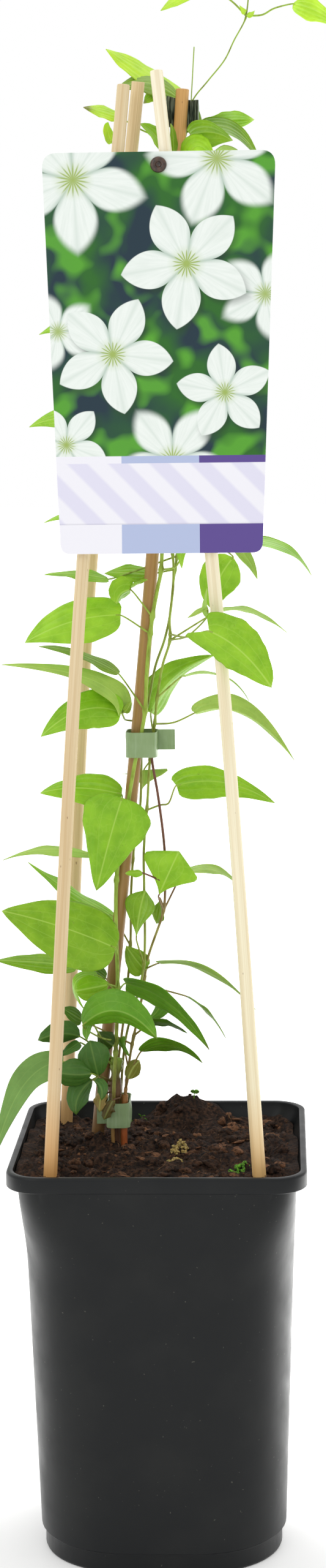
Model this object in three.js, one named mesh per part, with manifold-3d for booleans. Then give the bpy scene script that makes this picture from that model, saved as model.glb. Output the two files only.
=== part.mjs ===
// A climbing plant in its square nursery pot: four canes, five leafy vines tied to them, and a hanging label.
// Millimetres, +Z up. The origin is the middle of the pot's underside; the label faces -Y.
import * as THREE from "three";
import { mergeVertices } from "three/addons/utils/BufferGeometryUtils.js";
import Module from "manifold-3d";

const wasm = await Module();
wasm.setup();

// Driving dimensions
const POT_HEIGHT = 200;
const RIM_HALF = 75;
const RIM_CORNER = 17;
const RIM_DEPTH = 7.8;
const RIM_LIP = 3.4;
const WALL_TOP_HALF = 69.8;
const WALL_BASE_HALF = 62.6;
const WALL_TOP_CORNER = 15;
const WALL_CORNER = 45;
const CORNER_HEIGHT = 150;
const FOOT_HALF = 60.4;
const FOOT_HEIGHT = 10;
const WALL = 1.6;
const SHOULDER_LOW = 190.5;
const SHOULDER_HIGH = 195.5;
const DRAIN_RADIUS = 5;
const DRAIN_OFFSET = 32;

const SOIL_LEVEL = 195;
const SOIL_GAP = 0.35;
const HOLE_GAP = 0.4;
const BURIED = 150;

const CANE_RADIUS = 3.45;
const CANE_FOOT = 180;
const STALK_RADIUS = 0.8;
const BLADE_THICKNESS = 0.8;
const BLADE_STATIONS = 5;
const STEM_STEP = 22;
const DEGREE = Math.PI / 180;

const LABEL_TOP_WIDTH = 120;
const LABEL_BOTTOM_WIDTH = 102;
const LABEL_LENGTH = 205.3;
const LABEL_THICKNESS = 0.8;
const LABEL_TOP_CORNER = 8;
const LABEL_BOTTOM_CORNER = 5;
const LABEL_TOP = [5, -17, 709.3];
const LABEL_LEAN = 4.5;
const STUD_HEAD_RADIUS = 4.2;
const STUD_SHANK_RADIUS = 2.5;
const STUD_BELOW_TOP = 6.8;
const CLIP_WALL = 1.1;
const CLIP_HEIGHT = 5;

const TAPE = 0.8;

// Loops of tape: sides are left, right, front and back; a tab is its start, end, depth, low and high edge.
const LOOP_TIES = {
  tie_middle: { sides: [-16.1, -0.2, -1.6, 16.6], low: 397, high: 410, tab: [-0.6, 9, 9, 400, 410.5] },
  tie_base: { sides: [-28, -16.4, -4.8, 18], low: 206, high: 218.6, tab: [-27.6, -33.5, 1, 207, 216] },
};

// The open tie: the way it goes seen from above, its low and high edge and how much it drops per millimetre.
const TOP_TIE = [[9, 4.5], [12.2, 9.6], [17, 11], [20.9, 9.6], [25.5, 4]];
const TOP_TIE_LOW = 725.8;
const TOP_TIE_HIGH = 741.8;
const TOP_TIE_DROP = 0.15;

// Leaf outlines: the half-width follows sin(pi * s^peak)^fullness from base to tip; the lobes are how far the right
// and left sides reach back past the stalk, as a share of the length.
const CUTS = {
  ovate: { peak: 0.6, fullness: 0.8, lobes: [0.04, 0.04] },
  lance: { peak: 0.6, fullness: 1.0, lobes: [0.07, 0.07] },
  broad: { peak: 0.48, fullness: 0.8, lobes: [0.04, 0.04] },
  heart: { peak: 0.6, fullness: 0.62, lobes: [0.38, 0.18] },
  oval: { peak: 0.75, fullness: 0.68, lobes: [0, 0] },
  round: { peak: 0.92, fullness: 0.55, lobes: [0, 0] },
  wedge: { peak: 1.6, fullness: 1, lobes: [0, 0] },
  flared: { peak: 0.3, fullness: 1.3, lobes: [0, 0] },
};

// Canes: foot at the soil, middle and top.
const CANES = {
  cane_front_left: { route: [[-53, -58, 196], [-38, -30, 466], [-13, -8, 745]], colour: "#e3c596" },
  cane_back_left: { route: [[-54, 58, 197], [-37, 33, 478], [-6, 4, 748]], colour: "#ddb987" },
  cane_front_right: { route: [[51, -55, 198], [33, -30, 470], [4, -8, 752]], colour: "#ebd3a8" },
  cane_centre: { route: [[-33, 8, 206], [-4, 8, 475], [17, 6, 744]], colour: "#a06f3e" },
};

// Vines. Each stem is a radius and the points it passes, from the soil up; the first stem is the main one.
// Each leaf is its cut, where its base, the middle of its rib and its tip stand, its half-width, how far its
// right and left halves fold back in degrees, then where its stalk starts, as a height on the stem or as a
// point on another stalk, and any points that the stalk passes on the way.
const VINES = {
  vine_front: {
    colour: "#7fae33",
    stems: [
      { radius: 1.05, route: [
        [-25, -2, 211], [-23, 0, 250], [-22, 2, 275], [-22, 3, 334], [-15, 2, 376], [-11, 1, 397],
        [-8, 1, 410], [-6, 1, 421], [-5, 2, 441], [-2, 3, 468], [1, 4, 484], [3, 4, 494], [4, 2, 523],
        [5, 1, 555], [7, 1, 599], [9, 1, 653], [11, 0, 694], [13, 1, 710],
      ] },
    ],
    leaves: [
      ["ovate", [12, -1, 710], [12, -3, 718], [11, -5, 725], 4, [55, -60], 706],
      ["ovate", [19, -4, 705], [25, -6, 713], [34, -6, 705], 10, [-65, 45], 698],
      ["lance", [-15, 6, 568], [-41, 8, 574], [-65, 4, 569], 13, [50, -45], 555],
      ["lance", [25, 10, 583], [41, 12, 580], [54, 10, 567], 12, [45, -40], 555],
      ["lance", [0, 13, 686], [-14, 28, 690], [-28, 28, 683], 11, [55, -45], 657],
      ["ovate", [16, -2, 510], [14, -2, 503], [14, -2, 495], 4, [45, -50], 494, [11, 2, 496]],
      ["ovate", [-20, 6, 440], [-40, 6, 450], [-61, 0, 455], 7, [75, -75], 421],
      ["ovate", [-19, 6, 377], [-41, 2, 381], [-61, -2, 379], 10, [50, -35], 333, [-24, 10, 353]],
      ["ovate", [-18, -6, 377], [-24, -10, 358], [-32, -6, 329], 18, [20, 15], 333, [-23, 6, 354]],
      ["ovate", [-22, -10, 300], [-50, -14, 312], [-80, -18, 321], 19.5, [50, -34], 275],
      ["round", [-26, -8, 281], [-35, -12, 280], [-43, -14, 279], 7.5, [40, 20], 277],
      ["ovate", [-32, 0, 284], [-44, -2, 280], [-39, -4, 267], 6, [70, -55], 275],
      ["broad", [-17, -10, 282], [7, -16, 272], [26, -20, 250], 10, [45, -55], 275],
      ["oval", [-38, -30, 265], [-19, -38, 274], [0, -34, 259], 11, [40, 25], 250, [-30, -14, 255]],
      ["oval", [-34, -26, 266], [-36, -27, 262], [-36, -28, 257], 3.5, [35, -55], [-30, -14, 255]],
      ["ovate", [-18, -2, 471], [-43, -4, 468], [-67, -12, 458], 15, [45, -35], 461],
      ["heart", [-13, 2, 484], [-18, 0, 482], [-20, -2, 477], 8, [0, 70], 470],
      ["oval", [-13, 2, 485], [-8, 2, 488], [-4, 2, 489], 3, [70, -70], [-13, 2, 484]],
      ["ovate", [-24, -6, 249], [-28, -7, 252], [-32, -8, 257], 6, [40, 30], 244],
    ],
  },
  vine_back: {
    colour: "#6fa22e",
    stems: [
      { radius: 0.7, route: [
        [-25, 14, 205], [-24, 16, 227], [-19, 16, 265], [-16, 15, 295], [-15, 14, 327], [-13, 14, 351],
        [-10, 14, 368], [-9, 14, 391], [-9, 14, 407], [-5, 13, 424], [-1, 13, 443], [4, 13, 457],
        [7, 14, 470], [9, 15, 488], [11, 17, 502], [12, 22, 535], [9, 23, 570], [2, 22, 599],
      ] },
    ],
    leaves: [
      ["lance", [-20, 8, 524], [-40, 10, 524], [-58, 6, 519], 9, [70, -65], 513],
      ["ovate", [42, 0, 508], [66, -2, 506], [81, -6, 491], 10, [75, -75], 516],
      ["lance", [-8, 13, 593], [-26, 5, 597], [-44, 5, 587], 12, [45, -40], 573],
      ["lance", [18, 26, 603], [34, 34, 606], [47, 38, 599], 12, [45, -50], 574],
      ["broad", [39, 4, 510], [48, 4, 500], [53, 0, 489], 6, [50, -50], 513],
      ["ovate", [-25, 10, 489], [-41, 6, 492], [-58, 4, 492], 7, [75, -70], 500],
      ["ovate", [-5, 14, 491], [-15, 14, 492], [-27, 10, 492], 7, [55, -50], 493],
      ["broad", [-18, -4, 421], [-34, -6, 438], [-79, -14, 447], 10, [55, -75], 414, [-16, 12, 415], [-17, 3, 417]],
      ["ovate", [-18, -8, 421], [-38, -12, 423], [-59, -16, 410], 12, [40, -30], [-17, 2, 417]],
      ["oval", [-17, -3, 421], [-15, -3, 423], [-13, -3, 427], 3, [50, -50], [-17, -6, 421]],
      ["lance", [-35, 14, 344], [-59, 8, 348], [-81, 0, 344], 6, [80, -70], 342],
      ["broad", [-25, 18, 311], [-46, 10, 325], [-68, 0, 343], 9, [80, -70], 297],
      ["ovate", [-29, 16, 279], [-36, 14, 284], [-43, 12, 286], 5, [50, -60], 268],
    ],
  },
  vine_middle: {
    colour: "#79b02c",
    stems: [
      { radius: 0.7, route: [
        [-22, 10, 205], [-19, 12, 247], [-9, 9, 285], [-8, 9, 327], [-8, 9, 345], [-7, 9, 360],
        [-6, 9, 370], [-4, 9, 396], [-2, 9, 409], [0, 9, 427], [3, 9, 444], [7, 8, 457], [7, 8, 468],
        [9, 8, 485], [9, 9, 501], [5, 13, 519], [3, 14, 542], [2, 15, 571], [4, 14, 612], [7, 14, 654],
        [12, 15, 686], [16, 16, 712], [19, 16, 728], [22, 14, 739], [30, 14, 749], [39, 14, 760],
        [44, 14, 770], [50, 14, 781], [51, 14, 786], [52, 14, 795],
      ] },
      { radius: 0.55, route: [
        [21, 15, 737], [23, 14, 767],
      ] },
    ],
    leaves: [
      ["ovate", [14, 28, 743], [-5, 28, 756], [-24, 24, 768], 12, [60, -50], 731],
      ["oval", [14, 20, 741], [-2, 18, 749], [-18, 15, 745], 11, [60, -55], 731],
      ["ovate", [5, 18, 742], [0, 16, 741], [-4, 16, 738], 6, [50, -50], 728],
      ["ovate", [-16, 20, 731], [-26, 22, 735], [-36, 20, 737], 7, [60, -50], 716, [-4, 21, 724]],
      ["ovate", [-21, 20, 718], [-23, 18, 724], [-23, 20, 729], 4, [45, -45], 708, [-11, 20, 709]],
      ["ovate", [7, 12, 712], [1, 12, 722], [-6, 12, 727], 8, [50, -70], 708],
      ["ovate", [21, 6, 720], [32, 2, 721], [43, -2, 716], 10, [40, -60], 712],
      ["ovate", [23, 16, 723], [42, 14, 724], [57, 6, 706], 9, [70, -65], 717],
      ["oval", [24, 16, 724], [39, 20, 729], [54, 20, 729], 9, [45, -65], 722],
      ["ovate", [31, 14, 707], [40, 16, 712], [49, 14, 709], 7, [70, -65], 706],
      ["ovate", [24, 14, 724], [24, 15, 732], [21, 14, 740], 4, [60, -75], 724],
      ["lance", [-11, 9, 625], [-35, 1, 625], [-59, 1, 617], 11, [50, -45], 612],
      ["lance", [23, 12, 650], [40, 14, 654], [56, 10, 640], 13, [45, -45], 612],
      ["lance", [-12, 26, 668], [-29, 34, 672], [-44, 36, 666], 11, [50, -45], 654],
      ["lance", [-18, 12, 545], [-33, 10, 541], [-43, 13, 528], 12, [50, -45], 535],
      ["lance", [27, 26, 538], [39, 34, 529], [48, 38, 515], 11, [50, -45], 535],
      ["oval", [41, -12, 501], [33, -14, 489], [29, -14, 475], 10.5, [5, 15], 502, [21, 2, 510]],
      ["ovate", [28, -37, 473], [27, -38, 479], [28, -37, 487], 3, [70, -60], 457, [18, -20, 462]],
      ["ovate", [28, -38, 477], [23, -38, 475], [18, -36, 472], 3, [65, -70], [28, -37, 474]],
      ["ovate", [33, -17, 474], [50, -20, 474], [68, -22, 463], 7, [75, -75], 457],
      ["heart", [29, -45, 466], [45.5, -48, 455.5], [60, -47, 437.5], 13.5, [30, 20], 460, [17, -20, 461]],
      ["broad", [-4, 20, 418], [8, 22, 436], [30, 20, 448], 12, [65, -30], 407],
      ["ovate", [13, 8, 438], [34, 4, 439], [48, 0, 426], 6, [80, -80], 427],
      ["lance", [20, 0, 420], [46, -6, 420], [71, -14, 397], 10, [75, -40], 414, [8, 8, 414]],
      ["broad", [10, -4, 383], [35, -8, 385], [61, -14, 375], 12, [30, -45], 369, [1, 9, 371], [5, 6, 372]],
      ["flared", [-8, 19, 388], [-8, 18, 384], [-9, 17, 378], 12.5, [15, 15], 395, [-3, 16, 395]],
      ["oval", [75, 10, 788], [86, 12, 785], [98, 8, 777], 8, [50, -55], 782, [59, 13, 783], [65, 12, 786]],
      ["ovate", [25, 8, 799], [16, 6, 792], [6, 6, 785], 7, [55, -45], 782, [42, 12, 791]],
      ["lance", [50, 12, 784], [49, 11, 785], [47, 11, 788], 1.6, [5, 5], 782],
      ["lance", [51, 12, 783], [53, 11, 783], [55, 11, 785], 1.6, [5, 5], 782],
      ["lance", [22, 28, 681], [35, 36, 684], [46, 40, 674], 11, [50, -45], 657],
      ["wedge", [-12, 1, 303], [-10, -1, 317], [-7, 1, 328], 10, [40, 25], 288],
    ],
  },
  vine_red: {
    colour: "#5f8f35",
    stems: [
      { radius: 0.7, route: [
        [-19.3, -1, 206], [-19, 0, 218], [-16, 8, 242], [-10, 14, 270], [-7, 14, 289], [2, 8, 316],
        [3, 7, 326], [3, 7, 348], [0, 6, 376], [-3, 5, 396], [-3, 5, 406],
      ] },
      { radius: 1.7, route: [
        [-19.3, -1, 191], [-19.3, -1, 206], [-18.8, 1, 222],
      ] },
    ],
    leaves: [
      ["ovate", [-46, 24, 284], [-66, 14, 288], [-86, 4, 291], 7, [65, -55], 264, [-20, 21, 266]],
      ["wedge", [0, -2, 325.5], [5.5, -8, 338], [11, -4, 349], 16, [20, 15], 316],
      ["oval", [-8, -5, 338], [-12, -6, 338], [-17, -6, 338], 3, [60, -60], [2, -6, 334]],
      ["ovate", [13, 10, 336], [29, 6, 338], [43, -2, 330], 7, [60, -65], 316],
      ["wedge", [0, 12, 322], [0, 14, 315], [-2, 14, 308], 6, [40, -65], 318],
      ["broad", [0, 2, 290], [25, -4, 287], [50, -10, 268], 8, [70, -65], 285],
      ["ovate", [-8, 12, 284], [-13, 11, 290], [-18, 12, 297], 7, [30, -20], 280],
      ["ovate", [14, 0, 273], [25, -2, 265], [34, -6, 253], 5, [75, -70], 276],
      ["ovate", [0, 6, 270], [-1, 6, 265], [-6, 6, 260], 6, [65, -30], 271],
      ["ovate", [-41, 3, 260], [-46, 0, 264], [-51, -4, 268], 5, [55, -55], 246, [-27, 1, 254]],
      ["ovate", [-6, 8, 257], [4, 4, 258], [14, 0, 254], 6, [60, -60], 250],
      ["ovate", [-10, -2, 245], [7, -6, 249], [22, -10, 241], 9, [60, -55], 229],
      ["ovate", [-20, 0, 252], [-19, -2, 248], [-16, -4, 243], 5, [60, -65], 234],
      ["round", [-17, 0, 230], [-15, 0, 235], [-11, 0, 240], 5, [25, 50], 224],
    ],
  },
  vine_low: {
    colour: "#3f7d2c",
    stems: [
      { radius: 2.2, route: [
        [-24, 2, 211], [-24, 2, 221], [-24, 4, 229], [-23, 6, 240],
      ] },
    ],
    leaves: [
      ["ovate", [-49, -20, 244], [-69, -26, 233], [-83, -34, 200], 9.5, [35, -50], 228, [-35, -6, 235]],
      ["oval", [-41, -8, 254], [-51, -14, 257], [-62, -20, 255], 7, [30, 35], 238],
      ["round", [-31, -22, 237], [-33, -26, 248], [-35, -24, 256], 8.5, [15, 15], 226, [-28, 0, 227]],
      ["round", [-34, -24, 239], [-43, -30, 240], [-52, -32, 242], 8.5, [25, 25], [-31, -22, 237]],
      ["oval", [-34, -20, 235], [-41, -26, 228], [-42, -28, 219], 7, [25, 35], [-31, -22, 237]],
      ["oval", [-33, -26, 236], [-29, -30, 233], [-29, -31, 227], 4, [45, 35], [-31, -22, 237]],
      ["ovate", [-41, -12, 252], [-46, -14, 249], [-51, -16, 246], 5, [65, -65], 235],
      ["oval", [-29.2, -8, 226.4], [-31, -10, 221.7], [-31.4, -10, 215.5], 4, [35, 30], 224, [-28, 0, 223]],
      ["round", [-24.5, -7, 221.2], [-27, -9, 216.5], [-29.3, -9, 211.5], 3.5, [20, 30], 222, [-21, 0, 221]],
    ],
  },
};

const plant = new THREE.Group();

function vector([x, y, z]) {
  return new THREE.Vector3(x, y, z);
}

function addPart(name, geometry, color, roughness) {
  const mesh = new THREE.Mesh(geometry, new THREE.MeshStandardMaterial({ color, roughness, metalness: 0 }));
  mesh.name = name;
  plant.add(mesh);
}

// Booleans

function toSolid(geometry) {
  const bare = geometry.clone();
  bare.deleteAttribute("normal");
  bare.deleteAttribute("uv");
  const merged = mergeVertices(bare, 1e-4);
  const vertProperties = new Float32Array(merged.attributes.position.array);
  const triVerts = new Uint32Array(merged.index.array);
  return new wasm.Manifold(new wasm.Mesh({ numProp: 3, vertProperties, triVerts }));
}

function toGeometry(solid) {
  const mesh = solid.getMesh();
  const geometry = new THREE.BufferGeometry();
  geometry.setAttribute("position", new THREE.BufferAttribute(mesh.vertProperties, 3));
  geometry.setIndex(new THREE.BufferAttribute(mesh.triVerts, 1));
  geometry.computeVertexNormals();
  return geometry;
}

// Pieces joined into one body. The biggest shell is kept, which fills the hollows that joining seals.
function fuse(geometries) {
  const whole = geometries.map(toSolid).reduce((sum, piece) => sum.add(piece));
  return whole.decompose().reduce((best, shell) => (shell.volume() > best.volume() ? shell : best));
}

// A closed mesh from triangles over shared points, without the triangles that have shrunk to a line.
function closedMesh(points, triangles) {
  const kept = triangles.filter(([a, b, c]) => a !== b && b !== c && c !== a);
  const geometry = new THREE.BufferGeometry();
  geometry.setAttribute("position", new THREE.Float32BufferAttribute(points.flatMap((p) => p.toArray()), 3));
  geometry.setIndex(kept.flat());
  geometry.computeVertexNormals();
  return geometry;
}

// Rods, stems and stalks

function regularSection(radius, sides) {
  const corners = Array.from({ length: sides }, (_, i) => {
    const angle = (2 * Math.PI * i) / sides;
    return new THREE.Vector2(radius * Math.cos(angle), radius * Math.sin(angle));
  });
  return new THREE.Shape(corners);
}

function rod(curve, radius, sides, steps) {
  return new THREE.ExtrudeGeometry(regularSection(radius, sides), {
    steps,
    bevelEnabled: false,
    extrudePath: curve,
  });
}

// The point of a rising curve at a height, found on a fine walk along it.
function pointAtHeight(curve, height) {
  const walk = curve.getPoints(400);
  return walk.reduce((best, p) => (Math.abs(p.z - height) < Math.abs(best.z - height) ? p : best));
}

// Square loft: rings of a rounded square, stacked and joined by faces.

function squareRing(half, corner, heightAt, cornerSteps, sideSteps) {
  const points = [];
  for (let side = 0; side < 4; side += 1) {
    const turn = (side * Math.PI) / 2;
    const reach = half - corner;
    for (let i = 0; i < cornerSteps; i += 1) {
      const angle = (i / cornerSteps) * (Math.PI / 2);
      points.push(new THREE.Vector2(reach + corner * Math.cos(angle), reach + corner * Math.sin(angle)));
    }
    for (let i = 0; i < sideSteps; i += 1) {
      points.push(new THREE.Vector2(reach - (2 * reach * i) / sideSteps, half));
    }
    for (const point of points.slice(-cornerSteps - sideSteps)) {
      point.rotateAround(new THREE.Vector2(), turn);
    }
  }
  return points.map((p) => new THREE.Vector3(p.x, p.y, heightAt(p.x, p.y)));
}

function loftRings(rings, bottomMiddle, topMiddle) {
  const count = rings[0].length;
  const points = [...rings.flat(), bottomMiddle, topMiddle];
  const bottom = points.length - 2;
  const top = points.length - 1;
  const lastRing = (rings.length - 1) * count;
  const triangles = [];
  for (let i = 0; i < count; i += 1) {
    const next = (i + 1) % count;
    triangles.push([bottom, next, i], [top, lastRing + i, lastRing + next]);
    for (let row = 0; row < lastRing; row += count) {
      triangles.push([row + i, row + next, row + count + next], [row + i, row + count + next, row + count + i]);
    }
  }
  return closedMesh(points, triangles);
}

// Pot: a thin shell with a stepped foot, a wall that steps out to a thicker rim, and four drainage holes.
// Half-width of the pot's wall at a height.
function wallHalf(z) {
  return THREE.MathUtils.mapLinear(z, FOOT_HEIGHT + 0.6, POT_HEIGHT - RIM_DEPTH, WALL_BASE_HALF, WALL_TOP_HALF);
}

function makePot() {
  const inside = WALL_TOP_HALF - WALL;
  const lipInside = RIM_HALF - RIM_LIP;
  const profile = [
    [FOOT_HALF - 1.4, 40, 0],
    [FOOT_HALF, 41, 1.4],
    [FOOT_HALF, 41, FOOT_HEIGHT - 1],
    [WALL_BASE_HALF, WALL_CORNER, FOOT_HEIGHT + 0.6],
    [wallHalf(CORNER_HEIGHT), WALL_CORNER, CORNER_HEIGHT],
    [WALL_TOP_HALF, WALL_TOP_CORNER, POT_HEIGHT - RIM_DEPTH],
    [RIM_HALF, RIM_CORNER, POT_HEIGHT - RIM_DEPTH],
    [RIM_HALF, RIM_CORNER, POT_HEIGHT - 1],
    [RIM_HALF - 0.8, RIM_CORNER - 0.8, POT_HEIGHT],
    [lipInside + 0.6, 15, POT_HEIGHT],
    [lipInside, 14.6, POT_HEIGHT - 0.8],
    [lipInside, 14.6, SHOULDER_HIGH],
    [inside, 13.4, SHOULDER_LOW],
    [wallHalf(CORNER_HEIGHT) - WALL, WALL_CORNER - 1, CORNER_HEIGHT],
    [WALL_BASE_HALF - WALL, WALL_CORNER - 1, FOOT_HEIGHT + 1.2],
    [FOOT_HALF - WALL, 40, FOOT_HEIGHT - 0.6],
    [FOOT_HALF - WALL, 40, WALL + 0.4],
  ];
  const rings = profile.map(([half, corner, z]) => squareRing(half, corner, () => z, 5, 1));
  const shell = loftRings(rings, vector([0, 0, 0]), vector([0, 0, WALL + 0.4]));
  let pot = toSolid(shell);
  for (const x of [-DRAIN_OFFSET, DRAIN_OFFSET]) {
    for (const y of [-DRAIN_OFFSET, DRAIN_OFFSET]) {
      const hole = new THREE.CylinderGeometry(DRAIN_RADIUS, DRAIN_RADIUS, 10, 12);
      hole.rotateX(Math.PI / 2);
      hole.translate(x, y, 0);
      pot = pot.subtract(toSolid(hole));
    }
  }
  return toGeometry(pot);
}

// Height of the soil: lumps of two sizes, a fall towards the back, a heap at the back rim and a bank on the left.
function soilHeight(x, y) {
  const lumps = 1.8 * Math.sin(x / 9.1 + 1.3) * Math.sin(y / 8.3 + 0.4);
  const crumbs = 1.1 * Math.sin(x / 4.3 + 2) * Math.sin(y / 5.1);
  const fall = 4 * THREE.MathUtils.smoothstep(y, 5, 60);
  const heap = 14 * Math.exp(-((x - 14) ** 2) / 420 - (y - 62) ** 2 / 190);
  const bank = 2.4 * THREE.MathUtils.smoothstep(-x, 46, 70);
  return SOIL_LEVEL + lumps + crumbs - fall + heap + bank;
}

// The soil's top edge, which spreads over the pot's shoulder where the soil is high, and the ring below it.
function soilEdges(cornerSteps, sideSteps) {
  const inside = WALL_TOP_HALF - WALL;
  const lipInside = RIM_HALF - RIM_LIP;
  const top = squareRing(lipInside, 14.6, soilHeight, cornerSteps, sideSteps);
  const low = top.map(({ x, y, z }) => {
    const share = (inside - SOIL_GAP - 0.4) / lipInside;
    return vector([x * share, y * share, Math.min(SHOULDER_LOW - 0.2, z - 0.8)]);
  });
  const high = top.map(({ x, y, z }) => {
    const rise = THREE.MathUtils.clamp((z - SHOULDER_LOW) / (SHOULDER_HIGH - SHOULDER_LOW), 0, 1);
    const share = (inside + rise * (lipInside - inside) - SOIL_GAP - 0.2) / lipInside;
    return vector([x * share, y * share, z]);
  });
  return [low, high];
}

function makeSoil(bores) {
  const cornerSteps = 4;
  const sideSteps = 6;
  const topHalf = WALL_TOP_HALF - WALL - SOIL_GAP - 0.4;
  const baseHalf = WALL_BASE_HALF - WALL - SOIL_GAP - 0.2;
  const waistHalf = wallHalf(CORNER_HEIGHT) - WALL - SOIL_GAP - 0.3;
  const footHalf = FOOT_HALF - WALL - SOIL_GAP - 0.3;
  const rings = [
    squareRing(footHalf, 40, () => WALL + 0.8, cornerSteps, sideSteps),
    squareRing(footHalf, 40, () => FOOT_HEIGHT - 0.4, cornerSteps, sideSteps),
    squareRing(baseHalf, WALL_CORNER - 1, () => FOOT_HEIGHT + 2.4, cornerSteps, sideSteps),
    squareRing(waistHalf, WALL_CORNER - 1, () => CORNER_HEIGHT, cornerSteps, sideSteps),
    ...soilEdges(cornerSteps, sideSteps),
  ];
  const shells = 6;
  for (let i = shells - 1; i > 0; i -= 1) {
    const share = i / shells;
    rings.push(squareRing(topHalf * share, 15 * share, soilHeight, cornerSteps, sideSteps));
  }
  const body = loftRings(rings, vector([0, 0, WALL + 0.8]), vector([0, 0, soilHeight(0, 0)]));
  return toGeometry(bores.reduce((soil, bore) => soil.subtract(toSolid(bore)), toSolid(body)));
}

// Canes: each bows slightly between its foot, middle and top, and runs on down into the soil.
function caneCurve([foot, middle, top]) {
  const share = (foot[2] - CANE_FOOT) / (middle[2] - foot[2]);
  const buried = vector(foot).lerp(vector(middle), -share);
  return new THREE.CatmullRomCurve3([buried, vector(foot), vector(middle), vector(top)]);
}

function makeCane(route, radius, sides) {
  return rod(caneCurve(route), radius, sides, 9);
}

// Vines

function stemCurve(route) {
  return new THREE.CatmullRomCurve3(route.map(vector));
}

// The main stem also goes straight down into the soil.
function mainRoute(route) {
  const [x, y] = route[0];
  return [[x, y, BURIED], [x, y, 190], ...route];
}

// Blade: two flat halves that fold along a curved rib. Its edge is set out sideways from the rib at each station.
function bladeFrame(rib, s, folds) {
  const along = rib.getTangent(s);
  const depth = vector([0, 1, 0]);
  const across = depth.clone().cross(along).normalize();
  depth.addScaledVector(along, -depth.dot(along)).normalize();
  const [right, left] = folds.map((degrees) => degrees * DEGREE);
  const rightWay = across.clone().multiplyScalar(Math.cos(right)).addScaledVector(depth, Math.sin(right));
  const leftWay = across.clone().multiplyScalar(-Math.cos(left)).addScaledVector(depth, Math.sin(left));
  const chord = rightWay.clone().sub(leftWay).normalize();
  return { along, rightWay, leftWay, normal: chord.cross(along).normalize() };
}

function makeBlade(cut, rib, halfWidth, folds) {
  const { peak, fullness, lobes } = CUTS[cut];
  const length = rib.getLength();
  const points = [];
  const columns = [];
  for (let i = 0; i <= BLADE_STATIONS; i += 1) {
    const s = (i / BLADE_STATIONS) ** 1.4;
    const middle = rib.getPoint(s);
    const { along, rightWay, leftWay, normal } = bladeFrame(rib, s, folds);
    const wide = Math.sin(Math.PI * s ** peak) ** fullness;
    const isEnd = i === 0 || i === BLADE_STATIONS;
    const back = length * Math.exp(-((s / 0.14) ** 2)) * Math.min(1, 1.5 * wide);
    const ways = isEnd ? [middle] : [
      middle.clone().addScaledVector(leftWay, halfWidth * wide).addScaledVector(along, -back * lobes[1]),
      middle,
      middle.clone().addScaledVector(rightWay, halfWidth * wide).addScaledVector(along, -back * lobes[0]),
    ];
    const first = points.length;
    for (const side of [0.5, -0.5]) {
      points.push(...ways.map((p) => p.clone().addScaledVector(normal, side * BLADE_THICKNESS)));
    }
    const upper = ways.map((_, k) => first + k);
    const lower = ways.map((_, k) => first + ways.length + k);
    columns.push(isEnd ? [...Array(3).fill(upper[0]), ...Array(3).fill(lower[0])] : [...upper, ...lower]);
  }
  const triangles = [];
  const addQuad = (a, b, c, d) => triangles.push([a, b, c], [a, c, d]);
  for (let i = 0; i < BLADE_STATIONS; i += 1) {
    const [left, middle, right, leftLow, middleLow, rightLow] = columns[i];
    const [left2, middle2, right2, leftLow2, middleLow2, rightLow2] = columns[i + 1];
    addQuad(left, middle, middle2, left2);
    addQuad(middle, right, right2, middle2);
    triangles.push([leftLow, middleLow2, middleLow], [leftLow, leftLow2, middleLow2]);
    triangles.push([middleLow, rightLow2, rightLow], [middleLow, middleLow2, rightLow2]);
    addQuad(rightLow, rightLow2, right2, right);
    addQuad(left, left2, leftLow2, leftLow);
  }
  return closedMesh(points, triangles);
}

function makeLeaf([cut, base, middle, tip, halfWidth, folds, from, ...via], stem) {
  const control = vector(middle).multiplyScalar(2).addScaledVector(vector(base).add(vector(tip)), -0.5);
  const rib = new THREE.QuadraticBezierCurve3(vector(base), control, vector(tip));
  const start = Array.isArray(from) ? vector(from) : pointAtHeight(stem, from);
  const stalk = new THREE.CatmullRomCurve3([start, ...via.map(vector), vector(base), rib.getPoint(0.02)]);
  const steps = 2 + 2 * via.length;
  return [rod(stalk, STALK_RADIUS, 3, steps), makeBlade(cut, rib, halfWidth, folds)];
}

function makeVine({ stems, leaves }) {
  const main = stemCurve(stems[0].route);
  const rods = stems.map(({ radius, route }, i) => {
    const curve = stemCurve(i === 0 ? mainRoute(route) : route);
    const sides = radius > 1.5 ? 7 : radius > 0.9 ? 5 : 4;
    return rod(curve, radius, sides, Math.max(3, Math.round(curve.getLength() / STEM_STEP)));
  });
  const pieces = leaves.flatMap((leaf) => makeLeaf(leaf, main));
  return toGeometry(fuse([...rods, ...pieces]));
}

// Plain holes in the soil, one round each cane and each vine's foot.
function caneBore(route) {
  const curve = caneCurve(route);
  return rod(curve, CANE_RADIUS + HOLE_GAP, 10, 9);
}

function vineBore({ stems }) {
  const [x, y] = stems[0].route[0];
  const radius = Math.max(...stems.map((stem) => stem.radius)) + HOLE_GAP;
  const bore = new THREE.CylinderGeometry(radius * 1.1, radius * 1.1, 230 - BURIED, 8);
  bore.rotateX(Math.PI / 2);
  bore.translate(x, y, (230 + BURIED) / 2 - HOLE_GAP);
  return bore;
}

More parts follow.
